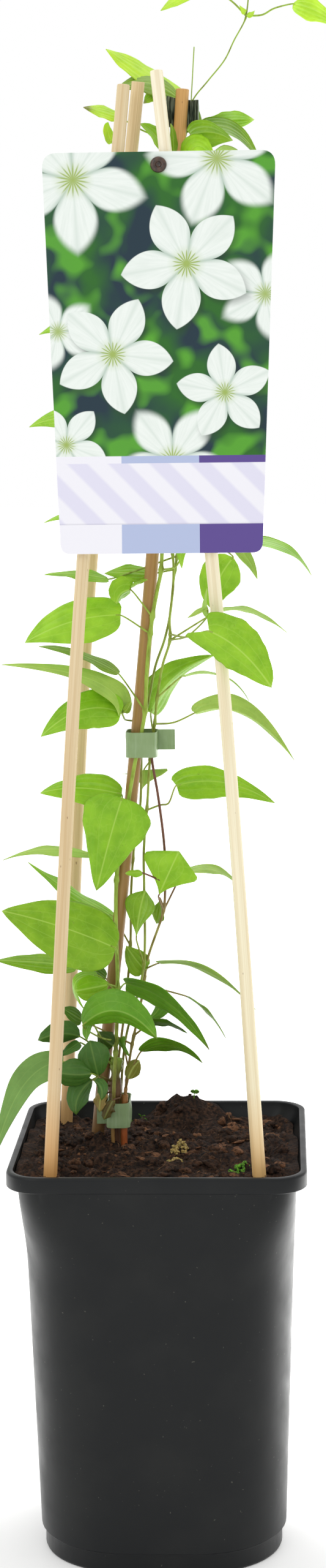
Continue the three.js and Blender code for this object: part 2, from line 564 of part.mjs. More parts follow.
// Label: a plastic card that narrows downwards, with round corners and a hole for the stud.
function roundedOutline(corners, ...radii) {
  const outline = new THREE.Shape();
  corners.forEach((corner, i) => {
    const radius = radii[i % radii.length];
    const before = corners[(i + corners.length - 1) % corners.length];
    const after = corners[(i + 1) % corners.length];
    const start = corner.clone().add(before.clone().sub(corner).setLength(radius));
    const end = corner.clone().add(after.clone().sub(corner).setLength(radius));
    if (i === 0) {
      outline.moveTo(start.x, start.y);
    } else {
      outline.lineTo(start.x, start.y);
    }
    outline.quadraticCurveTo(corner.x, corner.y, end.x, end.y);
  });
  outline.closePath();
  return outline;
}

function placeOnLabel(geometry) {
  geometry.rotateX(Math.PI / 2 - LABEL_LEAN * DEGREE);
  geometry.translate(...LABEL_TOP);
  return geometry;
}

function makeLabel() {
  const outline = roundedOutline([
    new THREE.Vector2(-LABEL_TOP_WIDTH / 2, 0),
    new THREE.Vector2(-LABEL_BOTTOM_WIDTH / 2, -LABEL_LENGTH),
    new THREE.Vector2(LABEL_BOTTOM_WIDTH / 2, -LABEL_LENGTH),
    new THREE.Vector2(LABEL_TOP_WIDTH / 2, 0),
  ], LABEL_TOP_CORNER, LABEL_BOTTOM_CORNER, LABEL_BOTTOM_CORNER, LABEL_TOP_CORNER);
  const hole = new THREE.Path();
  hole.absarc(0, -STUD_BELOW_TOP, STUD_SHANK_RADIUS + 0.3, 0, 2 * Math.PI, true);
  outline.holes.push(hole);
  const card = new THREE.ExtrudeGeometry(outline, { depth: LABEL_THICKNESS, bevelEnabled: false, curveSegments: 5 });
  return placeOnLabel(card);
}

// Stud: a round head in front of the card, a shank through it, and an open ring behind that grips the cane.
function makeLabelClip() {
  const head = new THREE.CylinderGeometry(STUD_HEAD_RADIUS - 0.6, STUD_HEAD_RADIUS, 1.6, 14);
  head.rotateX(Math.PI / 2);
  head.translate(0, -STUD_BELOW_TOP, LABEL_THICKNESS + 0.3 + 0.8);
  const shank = new THREE.CylinderGeometry(STUD_SHANK_RADIUS, STUD_SHANK_RADIUS, 6, 10);
  shank.rotateX(Math.PI / 2);
  shank.translate(0, -STUD_BELOW_TOP, -1);
  const cane = caneCurve(CANES.cane_front_right.route);
  const height = LABEL_TOP[2] - STUD_BELOW_TOP;
  const low = pointAtHeight(cane, height - CLIP_HEIGHT / 2);
  const high = pointAtHeight(cane, height + CLIP_HEIGHT / 2);
  const inner = CANE_RADIUS + 0.3;
  const opening = 40 * DEGREE;
  const ring = new THREE.Shape();
  ring.absarc(0, 0, inner + CLIP_WALL, opening, 2 * Math.PI - opening, false);
  ring.absarc(0, 0, inner, 2 * Math.PI - opening, opening, true);
  ring.closePath();
  const clip = new THREE.ExtrudeGeometry(ring, { depth: CLIP_HEIGHT, bevelEnabled: false, curveSegments: 6 });
  const lean = new THREE.Quaternion().setFromUnitVectors(vector([0, 0, 1]), high.clone().sub(low).normalize());
  clip.applyQuaternion(lean);
  clip.translate(low.x, low.y, low.z);
  const solids = [placeOnLabel(head), placeOnLabel(shank), clip].map(toSolid);
  const fused = solids.reduce((whole, piece) => whole.add(piece));
  const bore = new THREE.CylinderGeometry(inner, inner, CLIP_HEIGHT + 4, 16);
  bore.rotateX(Math.PI / 2);
  bore.applyQuaternion(lean);
  bore.translate(...low.clone().lerp(high, 0.5).toArray());
  return toGeometry(fused.subtract(toSolid(bore)));
}

// Ties: strips of tape that run round what they hold, as a closed band or an open one.
function tapeBand(points, low, high) {
  const curve = new THREE.CatmullRomCurve3(points.map(([x, y]) => vector([x, y, 0])), false, "catmullrom", 0.4);
  const middle = curve.getSpacedPoints(points.length * 3);
  const outer = [];
  const inner = [];
  middle.forEach((p, i) => {
    const way = curve.getTangentAt(i / (middle.length - 1));
    const side = new THREE.Vector2(-way.y, way.x).setLength(TAPE / 2);
    outer.push(new THREE.Vector2(p.x + side.x, p.y + side.y));
    inner.push(new THREE.Vector2(p.x - side.x, p.y - side.y));
  });
  const strip = new THREE.Shape([...outer, ...inner.reverse()]);
  const geometry = new THREE.ExtrudeGeometry(strip, { depth: high - low, bevelEnabled: false });
  geometry.translate(0, 0, low);
  return geometry;
}

function makeTopTie() {
  const slant = new THREE.Matrix4().makeShear(0, -TOP_TIE_DROP, 0, 0, 0, 0);
  return tapeBand(TOP_TIE, TOP_TIE_LOW, TOP_TIE_HIGH).applyMatrix4(slant);
}

// A closed band with a flat tab where its two ends meet.
function tapeLoop({ sides: [left, right, front, back], low, high, tab }) {
  const corner = 3.5;
  const outline = roundedOutline([
    new THREE.Vector2(left, front),
    new THREE.Vector2(right, front),
    new THREE.Vector2(right, back),
    new THREE.Vector2(left, back),
  ], corner);
  const hole = roundedOutline([
    new THREE.Vector2(left + TAPE, front + TAPE),
    new THREE.Vector2(left + TAPE, back - TAPE),
    new THREE.Vector2(right - TAPE, back - TAPE),
    new THREE.Vector2(right - TAPE, front + TAPE),
  ], corner - TAPE);
  outline.holes.push(hole);
  const band = new THREE.ExtrudeGeometry(outline, { depth: high - low, bevelEnabled: false, curveSegments: 4 });
  band.translate(0, 0, low);
  const [tabStart, tabEnd, tabDepth, tabLow, tabHigh] = tab;
  const flap = new THREE.BoxGeometry(Math.abs(tabEnd - tabStart), 2 * TAPE, tabHigh - tabLow);
  flap.translate((tabStart + tabEnd) / 2, tabDepth, (tabLow + tabHigh) / 2);
  return toGeometry(fuse([band, flap]));
}

addPart("pot", makePot(), "#2b2d2e", 0.45);
const bores = [
  ...Object.values(CANES).map(({ route }) => caneBore(route)),
  ...Object.values(VINES).map(vineBore),
];
addPart("soil", makeSoil(bores), "#35221a", 1);
for (const [name, { route, colour }] of Object.entries(CANES)) {
  addPart(name, makeCane(route, CANE_RADIUS, 10), colour, 0.6);
}
for (const [name, vine] of Object.entries(VINES)) {
  addPart(name, makeVine(vine), vine.colour, 0.5);
}
addPart("label", makeLabel(), "#f1f0f8", 0.35);
addPart("label_clip", makeLabelClip(), "#2a1e18", 0.4);
for (const [name, tie] of Object.entries(LOOP_TIES)) {
  addPart(name, tapeLoop(tie), "#7e9c72", 0.4);
}
addPart("tie_top", makeTopTie(), "#27342c", 0.35);

export default plant;
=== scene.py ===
"""A potted climbing clematis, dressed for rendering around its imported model.

Pot, soil, canes, leafy vines, hanging label and ties are built here as fine meshes with procedural materials.
Lengths are millimetres in the tables and while a mesh is built; everything placed in the scene is in metres.
"""

import math
import random
from types import SimpleNamespace

import bmesh
import bpy
import numpy as np
from bpy.props import FloatProperty, FloatVectorProperty, IntProperty, PointerProperty
from mathutils import Matrix, Vector, noise


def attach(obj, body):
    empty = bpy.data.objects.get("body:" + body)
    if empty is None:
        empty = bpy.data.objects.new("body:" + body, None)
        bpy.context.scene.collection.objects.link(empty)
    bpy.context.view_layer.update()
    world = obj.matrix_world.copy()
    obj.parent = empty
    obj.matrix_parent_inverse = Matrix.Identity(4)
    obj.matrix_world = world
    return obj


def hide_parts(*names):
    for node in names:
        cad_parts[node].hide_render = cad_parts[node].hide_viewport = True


bl_info = {
    "name": "Potted clematis climber",
    "version": (1, 0, 0),
    "blender": (4, 5, 0),
    "location": "View3D > Sidebar > Clematis",
    "description": "Builds a potted climbing plant on canes, with its label and ties",
    "category": "Add Mesh",
}

MM = 0.001

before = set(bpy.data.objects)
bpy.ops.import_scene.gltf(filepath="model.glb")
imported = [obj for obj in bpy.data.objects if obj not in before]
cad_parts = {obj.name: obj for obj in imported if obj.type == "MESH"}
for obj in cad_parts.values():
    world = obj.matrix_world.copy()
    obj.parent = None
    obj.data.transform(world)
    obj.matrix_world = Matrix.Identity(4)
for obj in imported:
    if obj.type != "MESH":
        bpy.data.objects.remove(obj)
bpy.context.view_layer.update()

# The photograph's camera: level, with its horizon above the middle of the picture.
PHOTO_HEIGHT = 2560
FOCAL_PIXELS = 4356
HORIZON_ROW = 673.8
CAMERA_PLACE = (0.0654, -1.382, 0.5757)
CAMERA_YAW = -0.0436
CAMERA_ROLL = -0.0115
SENSOR = 36

# Leaf outlines: the half-width follows sin(pi * s^peak)^fullness from base to tip; then how far the right and
# the left side reach back past the stalk, as a share of the length.
CUTS = {
    "ovate": (0.6, 0.8, 0.04, 0.04),
    "lance": (0.6, 1.0, 0.07, 0.07),
    "broad": (0.48, 0.8, 0.04, 0.04),
    "heart": (0.6, 0.62, 0.38, 0.18),
    "oval": (0.75, 0.68, 0, 0),
    "round": (0.92, 0.55, 0, 0),
    "wedge": (1.6, 1, 0, 0),
    "flared": (0.3, 1.3, 0, 0),
}

# Leaf tones by age and by which face is turned to the front. 'shade' is painted shade: a darker tone for leaves
# that lie in shade. 'sheen' is partly the paler lower face of an old leaf and partly painted sheen.
TONES = {
    "lime": "#b6dc38",
    "fresh": "#9cce30",
    "mid": "#8abb24",
    "leafy": "#80a920",
    "dull": "#7a991c",
    "under": "#98bb45",
    "deep": "#5f931c",
    "shade": "#51781c",
    "old": "#446a28",
    "sheen": "#5f8c34",
    "darkest": "#3a5416",
    "olive": "#817f33",
    "tan": "#947c46",
    "withered": "#5d4c28",
}
UNDERSIDE_TONES = ("under", "sheen")
CRUMPLED_TONES = ("tan", "withered")

# Canes: foot at the soil, middle and top.
CANES = {
    "cane_front_left": [[-53, -58, 196], [-38, -30, 466], [-13, -8, 745]],
    "cane_back_left": [[-54, 58, 197], [-37, 33, 478], [-6, 4, 748]],
    "cane_front_right": [[51, -55, 198], [33, -30, 470], [4, -8, 752]],
    "cane_centre": [[-33, 8, 206], [-4, 8, 475], [17, 6, 744]],
}

# Stems of each vine: a radius and the points that the stem passes; the first stem is the main one.
STEMS = {
    "vine_front": [
        (1.05, [[-25, -2, 211], [-23, 0, 250], [-22, 2, 275], [-22, 3, 334], [-15, 2, 376], [-11, 1, 397],
            [-8, 1, 410], [-6, 1, 421], [-5, 2, 441], [-2, 3, 468], [1, 4, 484], [3, 4, 494], [4, 2, 523],
            [5, 1, 555], [7, 1, 599], [9, 1, 653], [11, 0, 694], [13, 1, 710]]),
    ],
    "vine_back": [
        (0.7, [[-25, 14, 205], [-24, 16, 227], [-19, 16, 265], [-16, 15, 295], [-15, 14, 327], [-13, 14, 351],
            [-10, 14, 368], [-9, 14, 391], [-9, 14, 407], [-5, 13, 424], [-1, 13, 443], [4, 13, 457],
            [7, 14, 470], [9, 15, 488], [11, 17, 502], [12, 22, 535], [9, 23, 570], [2, 22, 599]]),
    ],
    "vine_middle": [
        (0.7, [[-22, 10, 205], [-19, 12, 247], [-9, 9, 285], [-8, 9, 327], [-8, 9, 345], [-7, 9, 360],
            [-6, 9, 370], [-4, 9, 396], [-2, 9, 409], [0, 9, 427], [3, 9, 444], [7, 8, 457], [7, 8, 468],
            [9, 8, 485], [9, 9, 501], [5, 13, 519], [3, 14, 542], [2, 15, 571], [4, 14, 612], [7, 14, 654],
            [12, 15, 686], [16, 16, 712], [19, 16, 728], [22, 14, 739], [30, 14, 749], [39, 14, 760],
            [44, 14, 770], [50, 14, 781], [51, 14, 786], [52, 14, 795]]),
        (0.55, [[21, 15, 737], [23, 14, 767]]),
    ],
    "vine_red": [
        (0.7, [[-19.3, -1, 206], [-19, 0, 218], [-16, 8, 242], [-10, 14, 270], [-7, 14, 289], [2, 8, 316],
            [3, 7, 326], [3, 7, 348], [0, 6, 376], [-3, 5, 396], [-3, 5, 406]]),
        (1.7, [[-19.3, -1, 191], [-19.3, -1, 206], [-18.8, 1, 222]]),
    ],
    "vine_low": [
        (2.2, [[-24, 2, 211], [-24, 2, 221], [-24, 4, 229], [-23, 6, 240]]),
    ],
}

# Leaves of each vine: cut and tone, base, middle of the rib and tip, half-width, the fold of the right and left
# halves in degrees, where the stalk starts, as a height on the main stem or a point, and any points that the
# stalk passes.
LEAVES = {
    "vine_front": [
        ("ovate", "dull", [12, -1, 710], [12, -3, 718], [11, -5, 725], 4, [55, -60], 706),
        ("ovate", "fresh", [19, -4, 705], [25, -6, 713], [34, -6, 705], 10, [-65, 45], 698),
        ("lance", "fresh", [-15, 6, 568], [-41, 8, 574], [-65, 4, 569], 13, [50, -45], 555),
        ("lance", "fresh", [25, 10, 583], [41, 12, 580], [54, 10, 567], 12, [45, -40], 555),
        ("lance", "fresh", [0, 13, 686], [-14, 28, 690], [-28, 28, 683], 11, [55, -45], 657),
        ("ovate", "fresh", [16, -2, 510], [14, -2, 503], [14, -2, 495], 4, [45, -50], 494, [11, 2, 496]),
        ("ovate", "dull", [-20, 6, 440], [-40, 6, 450], [-61, 0, 455], 7, [75, -75], 421),
        ("ovate", "mid", [-19, 6, 377], [-41, 2, 381], [-61, -2, 379], 10, [50, -35], 333, [-24, 10, 353]),
        ("ovate", "mid", [-18, -6, 377], [-24, -10, 358], [-32, -6, 329], 18, [20, 15], 333, [-23, 6, 354]),
        ("ovate", "leafy", [-22, -10, 300], [-50, -14, 312], [-80, -18, 321], 19.5, [50, -34], 275),
        ("round", "mid", [-26, -8, 281], [-35, -12, 280], [-43, -14, 279], 7.5, [40, 20], 277),
        ("ovate", "mid", [-32, 0, 284], [-44, -2, 280], [-39, -4, 267], 6, [70, -55], 275),
        ("broad", "deep", [-17, -10, 282], [7, -16, 272], [26, -20, 250], 10, [45, -55], 275),
        ("oval", "deep", [-38, -30, 265], [-19, -38, 274], [0, -34, 259], 11, [40, 25], 250, [-30, -14, 255]),
        ("oval", "deep", [-34, -26, 266], [-36, -27, 262], [-36, -28, 257], 3.5, [35, -55], [-30, -14, 255]),
        ("ovate", "fresh", [-18, -2, 471], [-43, -4, 468], [-67, -12, 458], 15, [45, -35], 461),
        ("heart", "mid", [-13, 2, 484], [-18, 0, 482], [-20, -2, 477], 8, [0, 70], 470),
        ("oval", "mid", [-13, 2, 485], [-8, 2, 488], [-4, 2, 489], 3, [70, -70], [-13, 2, 484]),
        ("ovate", "darkest", [-24, -6, 249], [-28, -7, 252], [-32, -8, 257], 6, [40, 30], 244),
    ],
    "vine_back": [
        ("lance", "fresh", [-20, 8, 524], [-40, 10, 524], [-58, 6, 519], 9, [70, -65], 513),
        ("ovate", "mid", [42, 0, 508], [66, -2, 506], [81, -6, 491], 10, [75, -75], 516),
        ("lance", "fresh", [-8, 13, 593], [-26, 5, 597], [-44, 5, 587], 12, [45, -40], 573),
        ("lance", "mid", [18, 26, 603], [34, 34, 606], [47, 38, 599], 12, [45, -50], 574),
        ("broad", "under", [39, 4, 510], [48, 4, 500], [53, 0, 489], 6, [50, -50], 513),
        ("ovate", "mid", [-25, 10, 489], [-41, 6, 492], [-58, 4, 492], 7, [75, -70], 500),
        ("ovate", "mid", [-5, 14, 491], [-15, 14, 492], [-27, 10, 492], 7, [55, -50], 493),
        ("broad", "under", [-18, -4, 421], [-34, -6, 438], [-79, -14, 447], 10, [55, -75], 414, [-16, 12, 415],
         [-17, 3, 417]),
        ("ovate", "mid", [-18, -8, 421], [-38, -12, 423], [-59, -16, 410], 12, [40, -30], [-17, 2, 417]),
        ("oval", "dull", [-17, -3, 421], [-15, -3, 423], [-13, -3, 427], 3, [50, -50], [-17, -6, 421]),
        ("lance", "under", [-35, 14, 344], [-59, 8, 348], [-81, 0, 344], 6, [80, -70], 342),
        ("broad", "mid", [-25, 18, 311], [-46, 10, 325], [-68, 0, 343], 9, [80, -70], 297),
        ("ovate", "shade", [-29, 16, 279], [-36, 14, 284], [-43, 12, 286], 5, [50, -60], 268),
    ],
    "vine_middle": [
        ("ovate", "lime", [14, 28, 743], [-5, 28, 756], [-24, 24, 768], 12, [60, -50], 731),
        ("oval", "dull", [14, 20, 741], [-2, 18, 749], [-18, 15, 745], 11, [60, -55], 731),
        ("ovate", "fresh", [5, 18, 742], [0, 16, 741], [-4, 16, 738], 6, [50, -50], 728),
        ("ovate", "lime", [-16, 20, 731], [-26, 22, 735], [-36, 20, 737], 7, [60, -50], 716, [-4, 21, 724]),
        ("ovate", "lime", [-21, 20, 718], [-23, 18, 724], [-23, 20, 729], 4, [45, -45], 708, [-11, 20, 709]),
        ("ovate", "fresh", [7, 12, 712], [1, 12, 722], [-6, 12, 727], 8, [50, -70], 708),
        ("ovate", "leafy", [21, 6, 720], [32, 2, 721], [43, -2, 716], 10, [40, -60], 712),
        ("ovate", "leafy", [23, 16, 723], [42, 14, 724], [57, 6, 706], 9, [70, -65], 717),
        ("oval", "fresh", [24, 16, 724], [39, 20, 729], [54, 20, 729], 9, [45, -65], 722),
        ("ovate", "under", [31, 14, 707], [40, 16, 712], [49, 14, 709], 7, [70, -65], 706),
        ("ovate", "dull", [24, 14, 724], [24, 15, 732], [21, 14, 740], 4, [60, -75], 724),
        ("lance", "fresh", [-11, 9, 625], [-35, 1, 625], [-59, 1, 617], 11, [50, -45], 612),
        ("lance", "fresh", [23, 12, 650], [40, 14, 654], [56, 10, 640], 13, [45, -45], 612),
        ("lance", "mid", [-12, 26, 668], [-29, 34, 672], [-44, 36, 666], 11, [50, -45], 654),
        ("lance", "mid", [-18, 12, 545], [-33, 10, 541], [-43, 13, 528], 12, [50, -45], 535),
        ("lance", "mid", [27, 26, 538], [39, 34, 529], [48, 38, 515], 11, [50, -45], 535),
        ("oval", "fresh", [41, -12, 501], [33, -14, 489], [29, -14, 475], 10.5, [5, 15], 502, [21, 2, 510]),
        ("ovate", "under", [28, -37, 473], [27, -38, 479], [28, -37, 487], 3, [70, -60], 457, [18, -20, 462]),
        ("ovate", "under", [28, -38, 477], [23, -38, 475], [18, -36, 472], 3, [65, -70], [28, -37, 474]),
        ("ovate", "under", [33, -17, 474], [50, -20, 474], [68, -22, 463], 7, [75, -75], 457),
        ("heart", "mid", [29, -45, 466], [45.5, -48, 455.5], [60, -47, 437.5], 13.5, [30, 20], 460,
         [17, -20, 461]),
        ("broad", "mid", [-4, 20, 418], [8, 22, 436], [30, 20, 448], 12, [65, -30], 407),
        ("ovate", "under", [13, 8, 438], [34, 4, 439], [48, 0, 426], 6, [80, -80], 427),
        ("lance", "under", [20, 0, 420], [46, -6, 420], [71, -14, 397], 10, [75, -40], 414, [8, 8, 414]),
        ("broad", "mid", [10, -4, 383], [35, -8, 385], [61, -14, 375], 12, [30, -45], 369, [1, 9, 371],
         [5, 6, 372]),
        ("flared", "under", [-8, 19, 388], [-8, 18, 384], [-9, 17, 378], 12.5, [15, 15], 395, [-3, 16, 395]),
        ("oval", "lime", [75, 10, 788], [86, 12, 785], [98, 8, 777], 8, [50, -55], 782, [59, 13, 783],
         [65, 12, 786]),
        ("ovate", "lime", [25, 8, 799], [16, 6, 792], [6, 6, 785], 7, [55, -45], 782, [42, 12, 791]),
        ("lance", "lime", [50, 12, 784], [49, 11, 785], [47, 11, 788], 1.6, [5, 5], 782),
        ("lance", "lime", [51, 12, 783], [53, 11, 783], [55, 11, 785], 1.6, [5, 5], 782),
        ("lance", "mid", [22, 28, 681], [35, 36, 684], [46, 40, 674], 11, [50, -45], 657),
        ("wedge", "leafy", [-12, 1, 303], [-10, -1, 317], [-7, 1, 328], 10, [40, 25], 288),
    ],
    "vine_red": [
        ("ovate", "leafy", [-46, 24, 284], [-66, 14, 288], [-86, 4, 291], 7, [65, -55], 264, [-20, 21, 266]),
        ("wedge", "mid", [0, -2, 325.5], [5.5, -8, 338], [11, -4, 349], 16, [20, 15], 316),
        ("oval", "mid", [-8, -5, 338], [-12, -6, 338], [-17, -6, 338], 3, [60, -60], [2, -6, 334]),
        ("ovate", "under", [13, 10, 336], [29, 6, 338], [43, -2, 330], 7, [60, -65], 316),
        ("wedge", "leafy", [0, 12, 322], [0, 14, 315], [-2, 14, 308], 6, [40, -65], 318),
        ("broad", "under", [0, 2, 290], [25, -4, 287], [50, -10, 268], 8, [70, -65], 285),
        ("ovate", "leafy", [-8, 12, 284], [-13, 11, 290], [-18, 12, 297], 7, [30, -20], 280),
        ("ovate", "leafy", [14, 0, 273], [25, -2, 265], [34, -6, 253], 5, [75, -70], 276),
        ("ovate", "deep", [0, 6, 270], [-1, 6, 265], [-6, 6, 260], 6, [65, -30], 271),
        ("ovate", "shade", [-41, 3, 260], [-46, 0, 264], [-51, -4, 268], 5, [55, -55], 246, [-27, 1, 254]),
        ("ovate", "shade", [-6, 8, 257], [4, 4, 258], [14, 0, 254], 6, [60, -60], 250),
        ("ovate", "deep", [-10, -2, 245], [7, -6, 249], [22, -10, 241], 9, [60, -55], 229),
        ("ovate", "deep", [-20, 0, 252], [-19, -2, 248], [-16, -4, 243], 5, [60, -65], 234),
        ("round", "olive", [-17, 0, 230], [-15, 0, 235], [-11, 0, 240], 5, [25, 50], 224),
    ],
    "vine_low": [
        ("ovate", "sheen", [-49, -20, 244], [-69, -26, 233], [-83, -34, 200], 9.5, [35, -50], 228,
         [-35, -6, 235]),
        ("oval", "old", [-41, -8, 254], [-51, -14, 257], [-62, -20, 255], 7, [30, 35], 238),
        ("round", "old", [-31, -22, 237], [-33, -26, 248], [-35, -24, 256], 8.5, [15, 15], 226, [-28, 0, 227]),
        ("round", "old", [-34, -24, 239], [-43, -30, 240], [-52, -32, 242], 8.5, [25, 25], [-31, -22, 237]),
        ("oval", "old", [-34, -20, 235], [-41, -26, 228], [-42, -28, 219], 7, [25, 35], [-31, -22, 237]),
        ("oval", "old", [-33, -26, 236], [-29, -30, 233], [-29, -31, 227], 4, [45, 35], [-31, -22, 237]),
        ("ovate", "old", [-41, -12, 252], [-46, -14, 249], [-51, -16, 246], 5, [65, -65], 235),
        ("oval", "tan", [-29.2, -8, 226.4], [-31, -10, 221.7], [-31.4, -10, 215.5], 4, [35, 30], 224,
         [-28, 0, 223]),
        ("round", "withered", [-24.5, -7, 221.2], [-27, -9, 216.5], [-29.3, -9, 211.5], 3.5, [20, 30], 222,
         [-21, 0, 221]),
    ],
}

# Canes: heights and the colours of the skin there, which run into each other, and the colour of the grain.
CANE_COLOURS = {
    "cane_front_left": (((198, "#cf9a58"), (240, "#d6c09a"), (745, "#dac9a4")), "#bc9f74"),
    "cane_back_left": (((198, "#c9a06a"), (240, "#d0b78c"), (745, "#d8c399")), "#b08f62"),
    "cane_front_right": (((198, "#dcb272"), (240, "#e8dfc0"), (745, "#efe8d0")), "#d6c8a4"),
    "cane_centre": (((205, "#7a5b34"), (330, "#a07c48"), (600, "#b08a50"), (720, "#cc9f60")), "#8b6636"),
}

# Stems: heights and the colours there, which run into each other.
STEM_COLOURS = {
    "vine_front": ((205, "#8a6a3c"), (235, "#8e9a44"), (280, "#96b045")),
    "vine_back": ((205, "#7c5a36"), (240, "#8b7f42"), (420, "#93a94c")),
    "vine_middle": ((205, "#80603a"), (250, "#97a24c"), (730, "#93b040")),
    "vine_red": ((210, "#9c5328"), (232, "#8c7a45"), (305, "#a39a5c"), (330, "#71493c")),
    "vine_low": ((205, "#5d3f2b"), (228, "#6a5034"), (240, "#86a040")),
}

# The young end of the longest stem: where it starts to thin, and its share of the full radius.
YOUNG_FROM, YOUNG_SHARE = 728, 0.55

# Stems: the height below which they stand upright in the soil, how much they swell where a stalk joins and how
# far that reaches, the radius from which a stem counts as thick, and the spacing of rings along them.
UPRIGHT_BELOW = 190
JOINT_SWELL, JOINT_REACH = 0.6, 1.6
THICK_STEM = 1.5
STEM_STEP = 1.5

# How clearly the nerves show on leaves of some tones.
NERVES_CLEAR = {"old": 0.3, "darkest": 0.25, "sheen": 0.4, "shade": 0.5, "deep": 0.6, "lime": 0.5,
                "withered": 0.6}

# Withered spots on the leaves: the place and how far each one reaches.
WITHERED_SPOTS = (((-36, 20, 737), 6), ((-4, 16, 738), 3), ((26, -20, 250), 4))

# On the soil: cushions of moss as x, y, reach and height; seedlings as x and y, height, how far each blade
# reaches sideways and up, and the blades' half-width.
MOSS_CUSHIONS = ((28.5, -50, 2.2, 1), (41, -39, 3.2, 2.2), (36.6, -43.7, 2, 0.8), (44.2, -36, 1.8, 1))
DRIED_CUSHIONS = ((9.6, -9, 5, 6), (8, -22, 4, 2.5))
SEEDLINGS = (((15, 58), 3.2, ((2.6, 0.6), (-2.2, 1)), 1.3), ((-13, 55), 1.2, ((2.4, -0.5), (-1, 0.4)), 0.8),
             ((-14, 64), 3, ((2.2, 0.9), (-1.8, 1.9)), 0.5), ((-19.6, 62), 1, ((0.8, 0.4),), 0.7))

# Label: where its top edge hangs, the rows of its print from the top, where its plain blocks change colour, the
# rounding of its edges, the radius of its hole and of the stud's shank, and its blossoms as a middle, a radius
# and a turn.
LABEL_TOP = (5, -17, 709.3)
PICTURE_END = 156
PANEL_ROWS = (159.7, 190.7)
BLOCK_EDGES = (-20, 19.5)
CARD_EDGE, CARD_HOLE, STUD_SHANK = 0.14, 2.8, 2.5
PETAL, PETAL_SHADE = "#e2e8e3", "#9fb5a6"
BLURRED_BLOSSOMS = (((-44, -14), 38, 0.4), ((30, -4), 36, 1.1), ((54, -74), 24, 0.2), ((-52, -92), 20, 0.9),
                    ((6, -158), 30, 0.5))
PRINTED_BLOSSOMS = (((14, -58), 34, 0.75), ((-24, -104), 31, 0.2), ((33, -124), 25, 1.3),
                    ((-48, -150), 22, 0.6))

# Ties: left, right, front and back of each loop, its low and high edge, and its tab's start, end, depth, low and
# high edge; then the route of the open one, seen from above, its low and high edge and its drop per millimetre.
LOOP_TIES = {
    "tie_middle": ((-16.1, -0.2, -1.6, 16.6), 397, 410, (-0.6, 9, 9, 400, 410.5)),
    "tie_base": ((-28, -16.4, -4.8, 18), 206, 218.6, (-27.6, -33.5, 1, 207, 216)),
}
TOP_TIE = ((9, 4.5), (12.2, 9.6), (17, 11), (20.9, 9.6), (25.5, 4))
TOP_TIE_HEIGHTS = (725.8, 741.8)
TOP_TIE_DROP = 0.15

# Radius of the loops' corners, how far the tape of a loop, a tab and the open tie is ruffled, rows of faces up
# it, and how strongly pale lines show on the grey-green and on the dark tape.
TIE_CORNER = 3.5
LOOP_RUFFLE, TAB_RUFFLE, OPEN_RUFFLE = 0.5, 0.35, 0.9
TAPE_ROWS = 10
STREAKS, DARK_STREAKS = 0.12, 0.55

# Light: name, place, size and power of each soft light, where they aim, the strength of the white surround, and
# how strongly the floor glows in front of the plant, behind it on the left and behind it on the right.
SOFT_LIGHTS = (
    ("key", (-1.4, -2.2, 2.0), 1.6, 12),
    ("top", (0.2, 0.6, 2.4), 1.6, 9),
)
LIGHT_AIM = (0, 0, 0.4)
SURROUND_STRENGTH = 1.0
FLOOR_GLOW = (0.12, 0.9, 2.2)


def linear(hex_colour):
    """An sRGB hex colour as linear red, green and blue."""
    channels = [int(hex_colour[i:i + 2], 16) / 255 for i in (1, 3, 5)]
    return tuple(c / 12.92 if c <= 0.04045 else ((c + 0.055) / 1.055) ** 2.4 for c in channels)


def length(name, millimetres, description):
    """A size that the user can change, given in millimetres and kept in metres."""
    return FloatProperty(name=name, description=description, default=millimetres * MM, min=0, unit="LENGTH",
                         precision=4)


def colour(name, hex_colour, description):
    """A colour that the user can change, given as sRGB hex."""
    return FloatVectorProperty(name=name, description=description, default=linear(hex_colour), min=0, max=1,
                               subtype="COLOR")


def in_mm(settings):
    """A group's values by name, with its lengths in millimetres."""
    values = {}
    for setting in settings.bl_rna.properties:
        value = getattr(settings, setting.identifier)
        values[setting.identifier] = value / MM if setting.unit == "LENGTH" else value
    return SimpleNamespace(**values)


class PotSettings(bpy.types.PropertyGroup):
    height: length("Height", 200, "From the foot to the top of the rim")
    rim_half: length("Rim half-width", 75, "From the middle to the outside of the rim")
    rim_corner: length("Rim corner", 17, "Radius of the rim's corners")
    rim_depth: length("Rim depth", 7.8, "Height of the rim's outside")
    rim_lip: length("Rim lip", 3.4, "Width of the rim's top")
    shoulder_low: length("Shoulder low", 190.5, "Where the wall starts to widen inside")
    shoulder_high: length("Shoulder high", 195.5, "Where it reaches the rim's inside")
    wall_top: length("Wall at top", 69.8, "Half-width of the wall under the rim")
    wall_base: length("Wall at base", 62.6, "Half-width of the wall above the foot")
    wall_corner: length("Wall corner", 45, "Radius of the wall's corners over most of its height")
    corner_height: length("Corner height", 150, "Where they start to tighten towards the rim")
    foot_half: length("Foot half-width", 60.4, "Half-width of the stepped foot")
    foot_height: length("Foot height", 10, "Height of the stepped foot")
    wall: length("Wall", 1.6, "Thickness of the plastic")
    drain_radius: length("Drain radius", 5, "Radius of the drainage holes")
    drain_offset: length("Drain offset", 32, "Distance of the drainage holes from the middle lines")
    plastic: colour("Plastic", "#090c0e", "Colour of the clean plastic")
    dust: colour("Dust", "#5c5b52", "Colour of the dust on it")


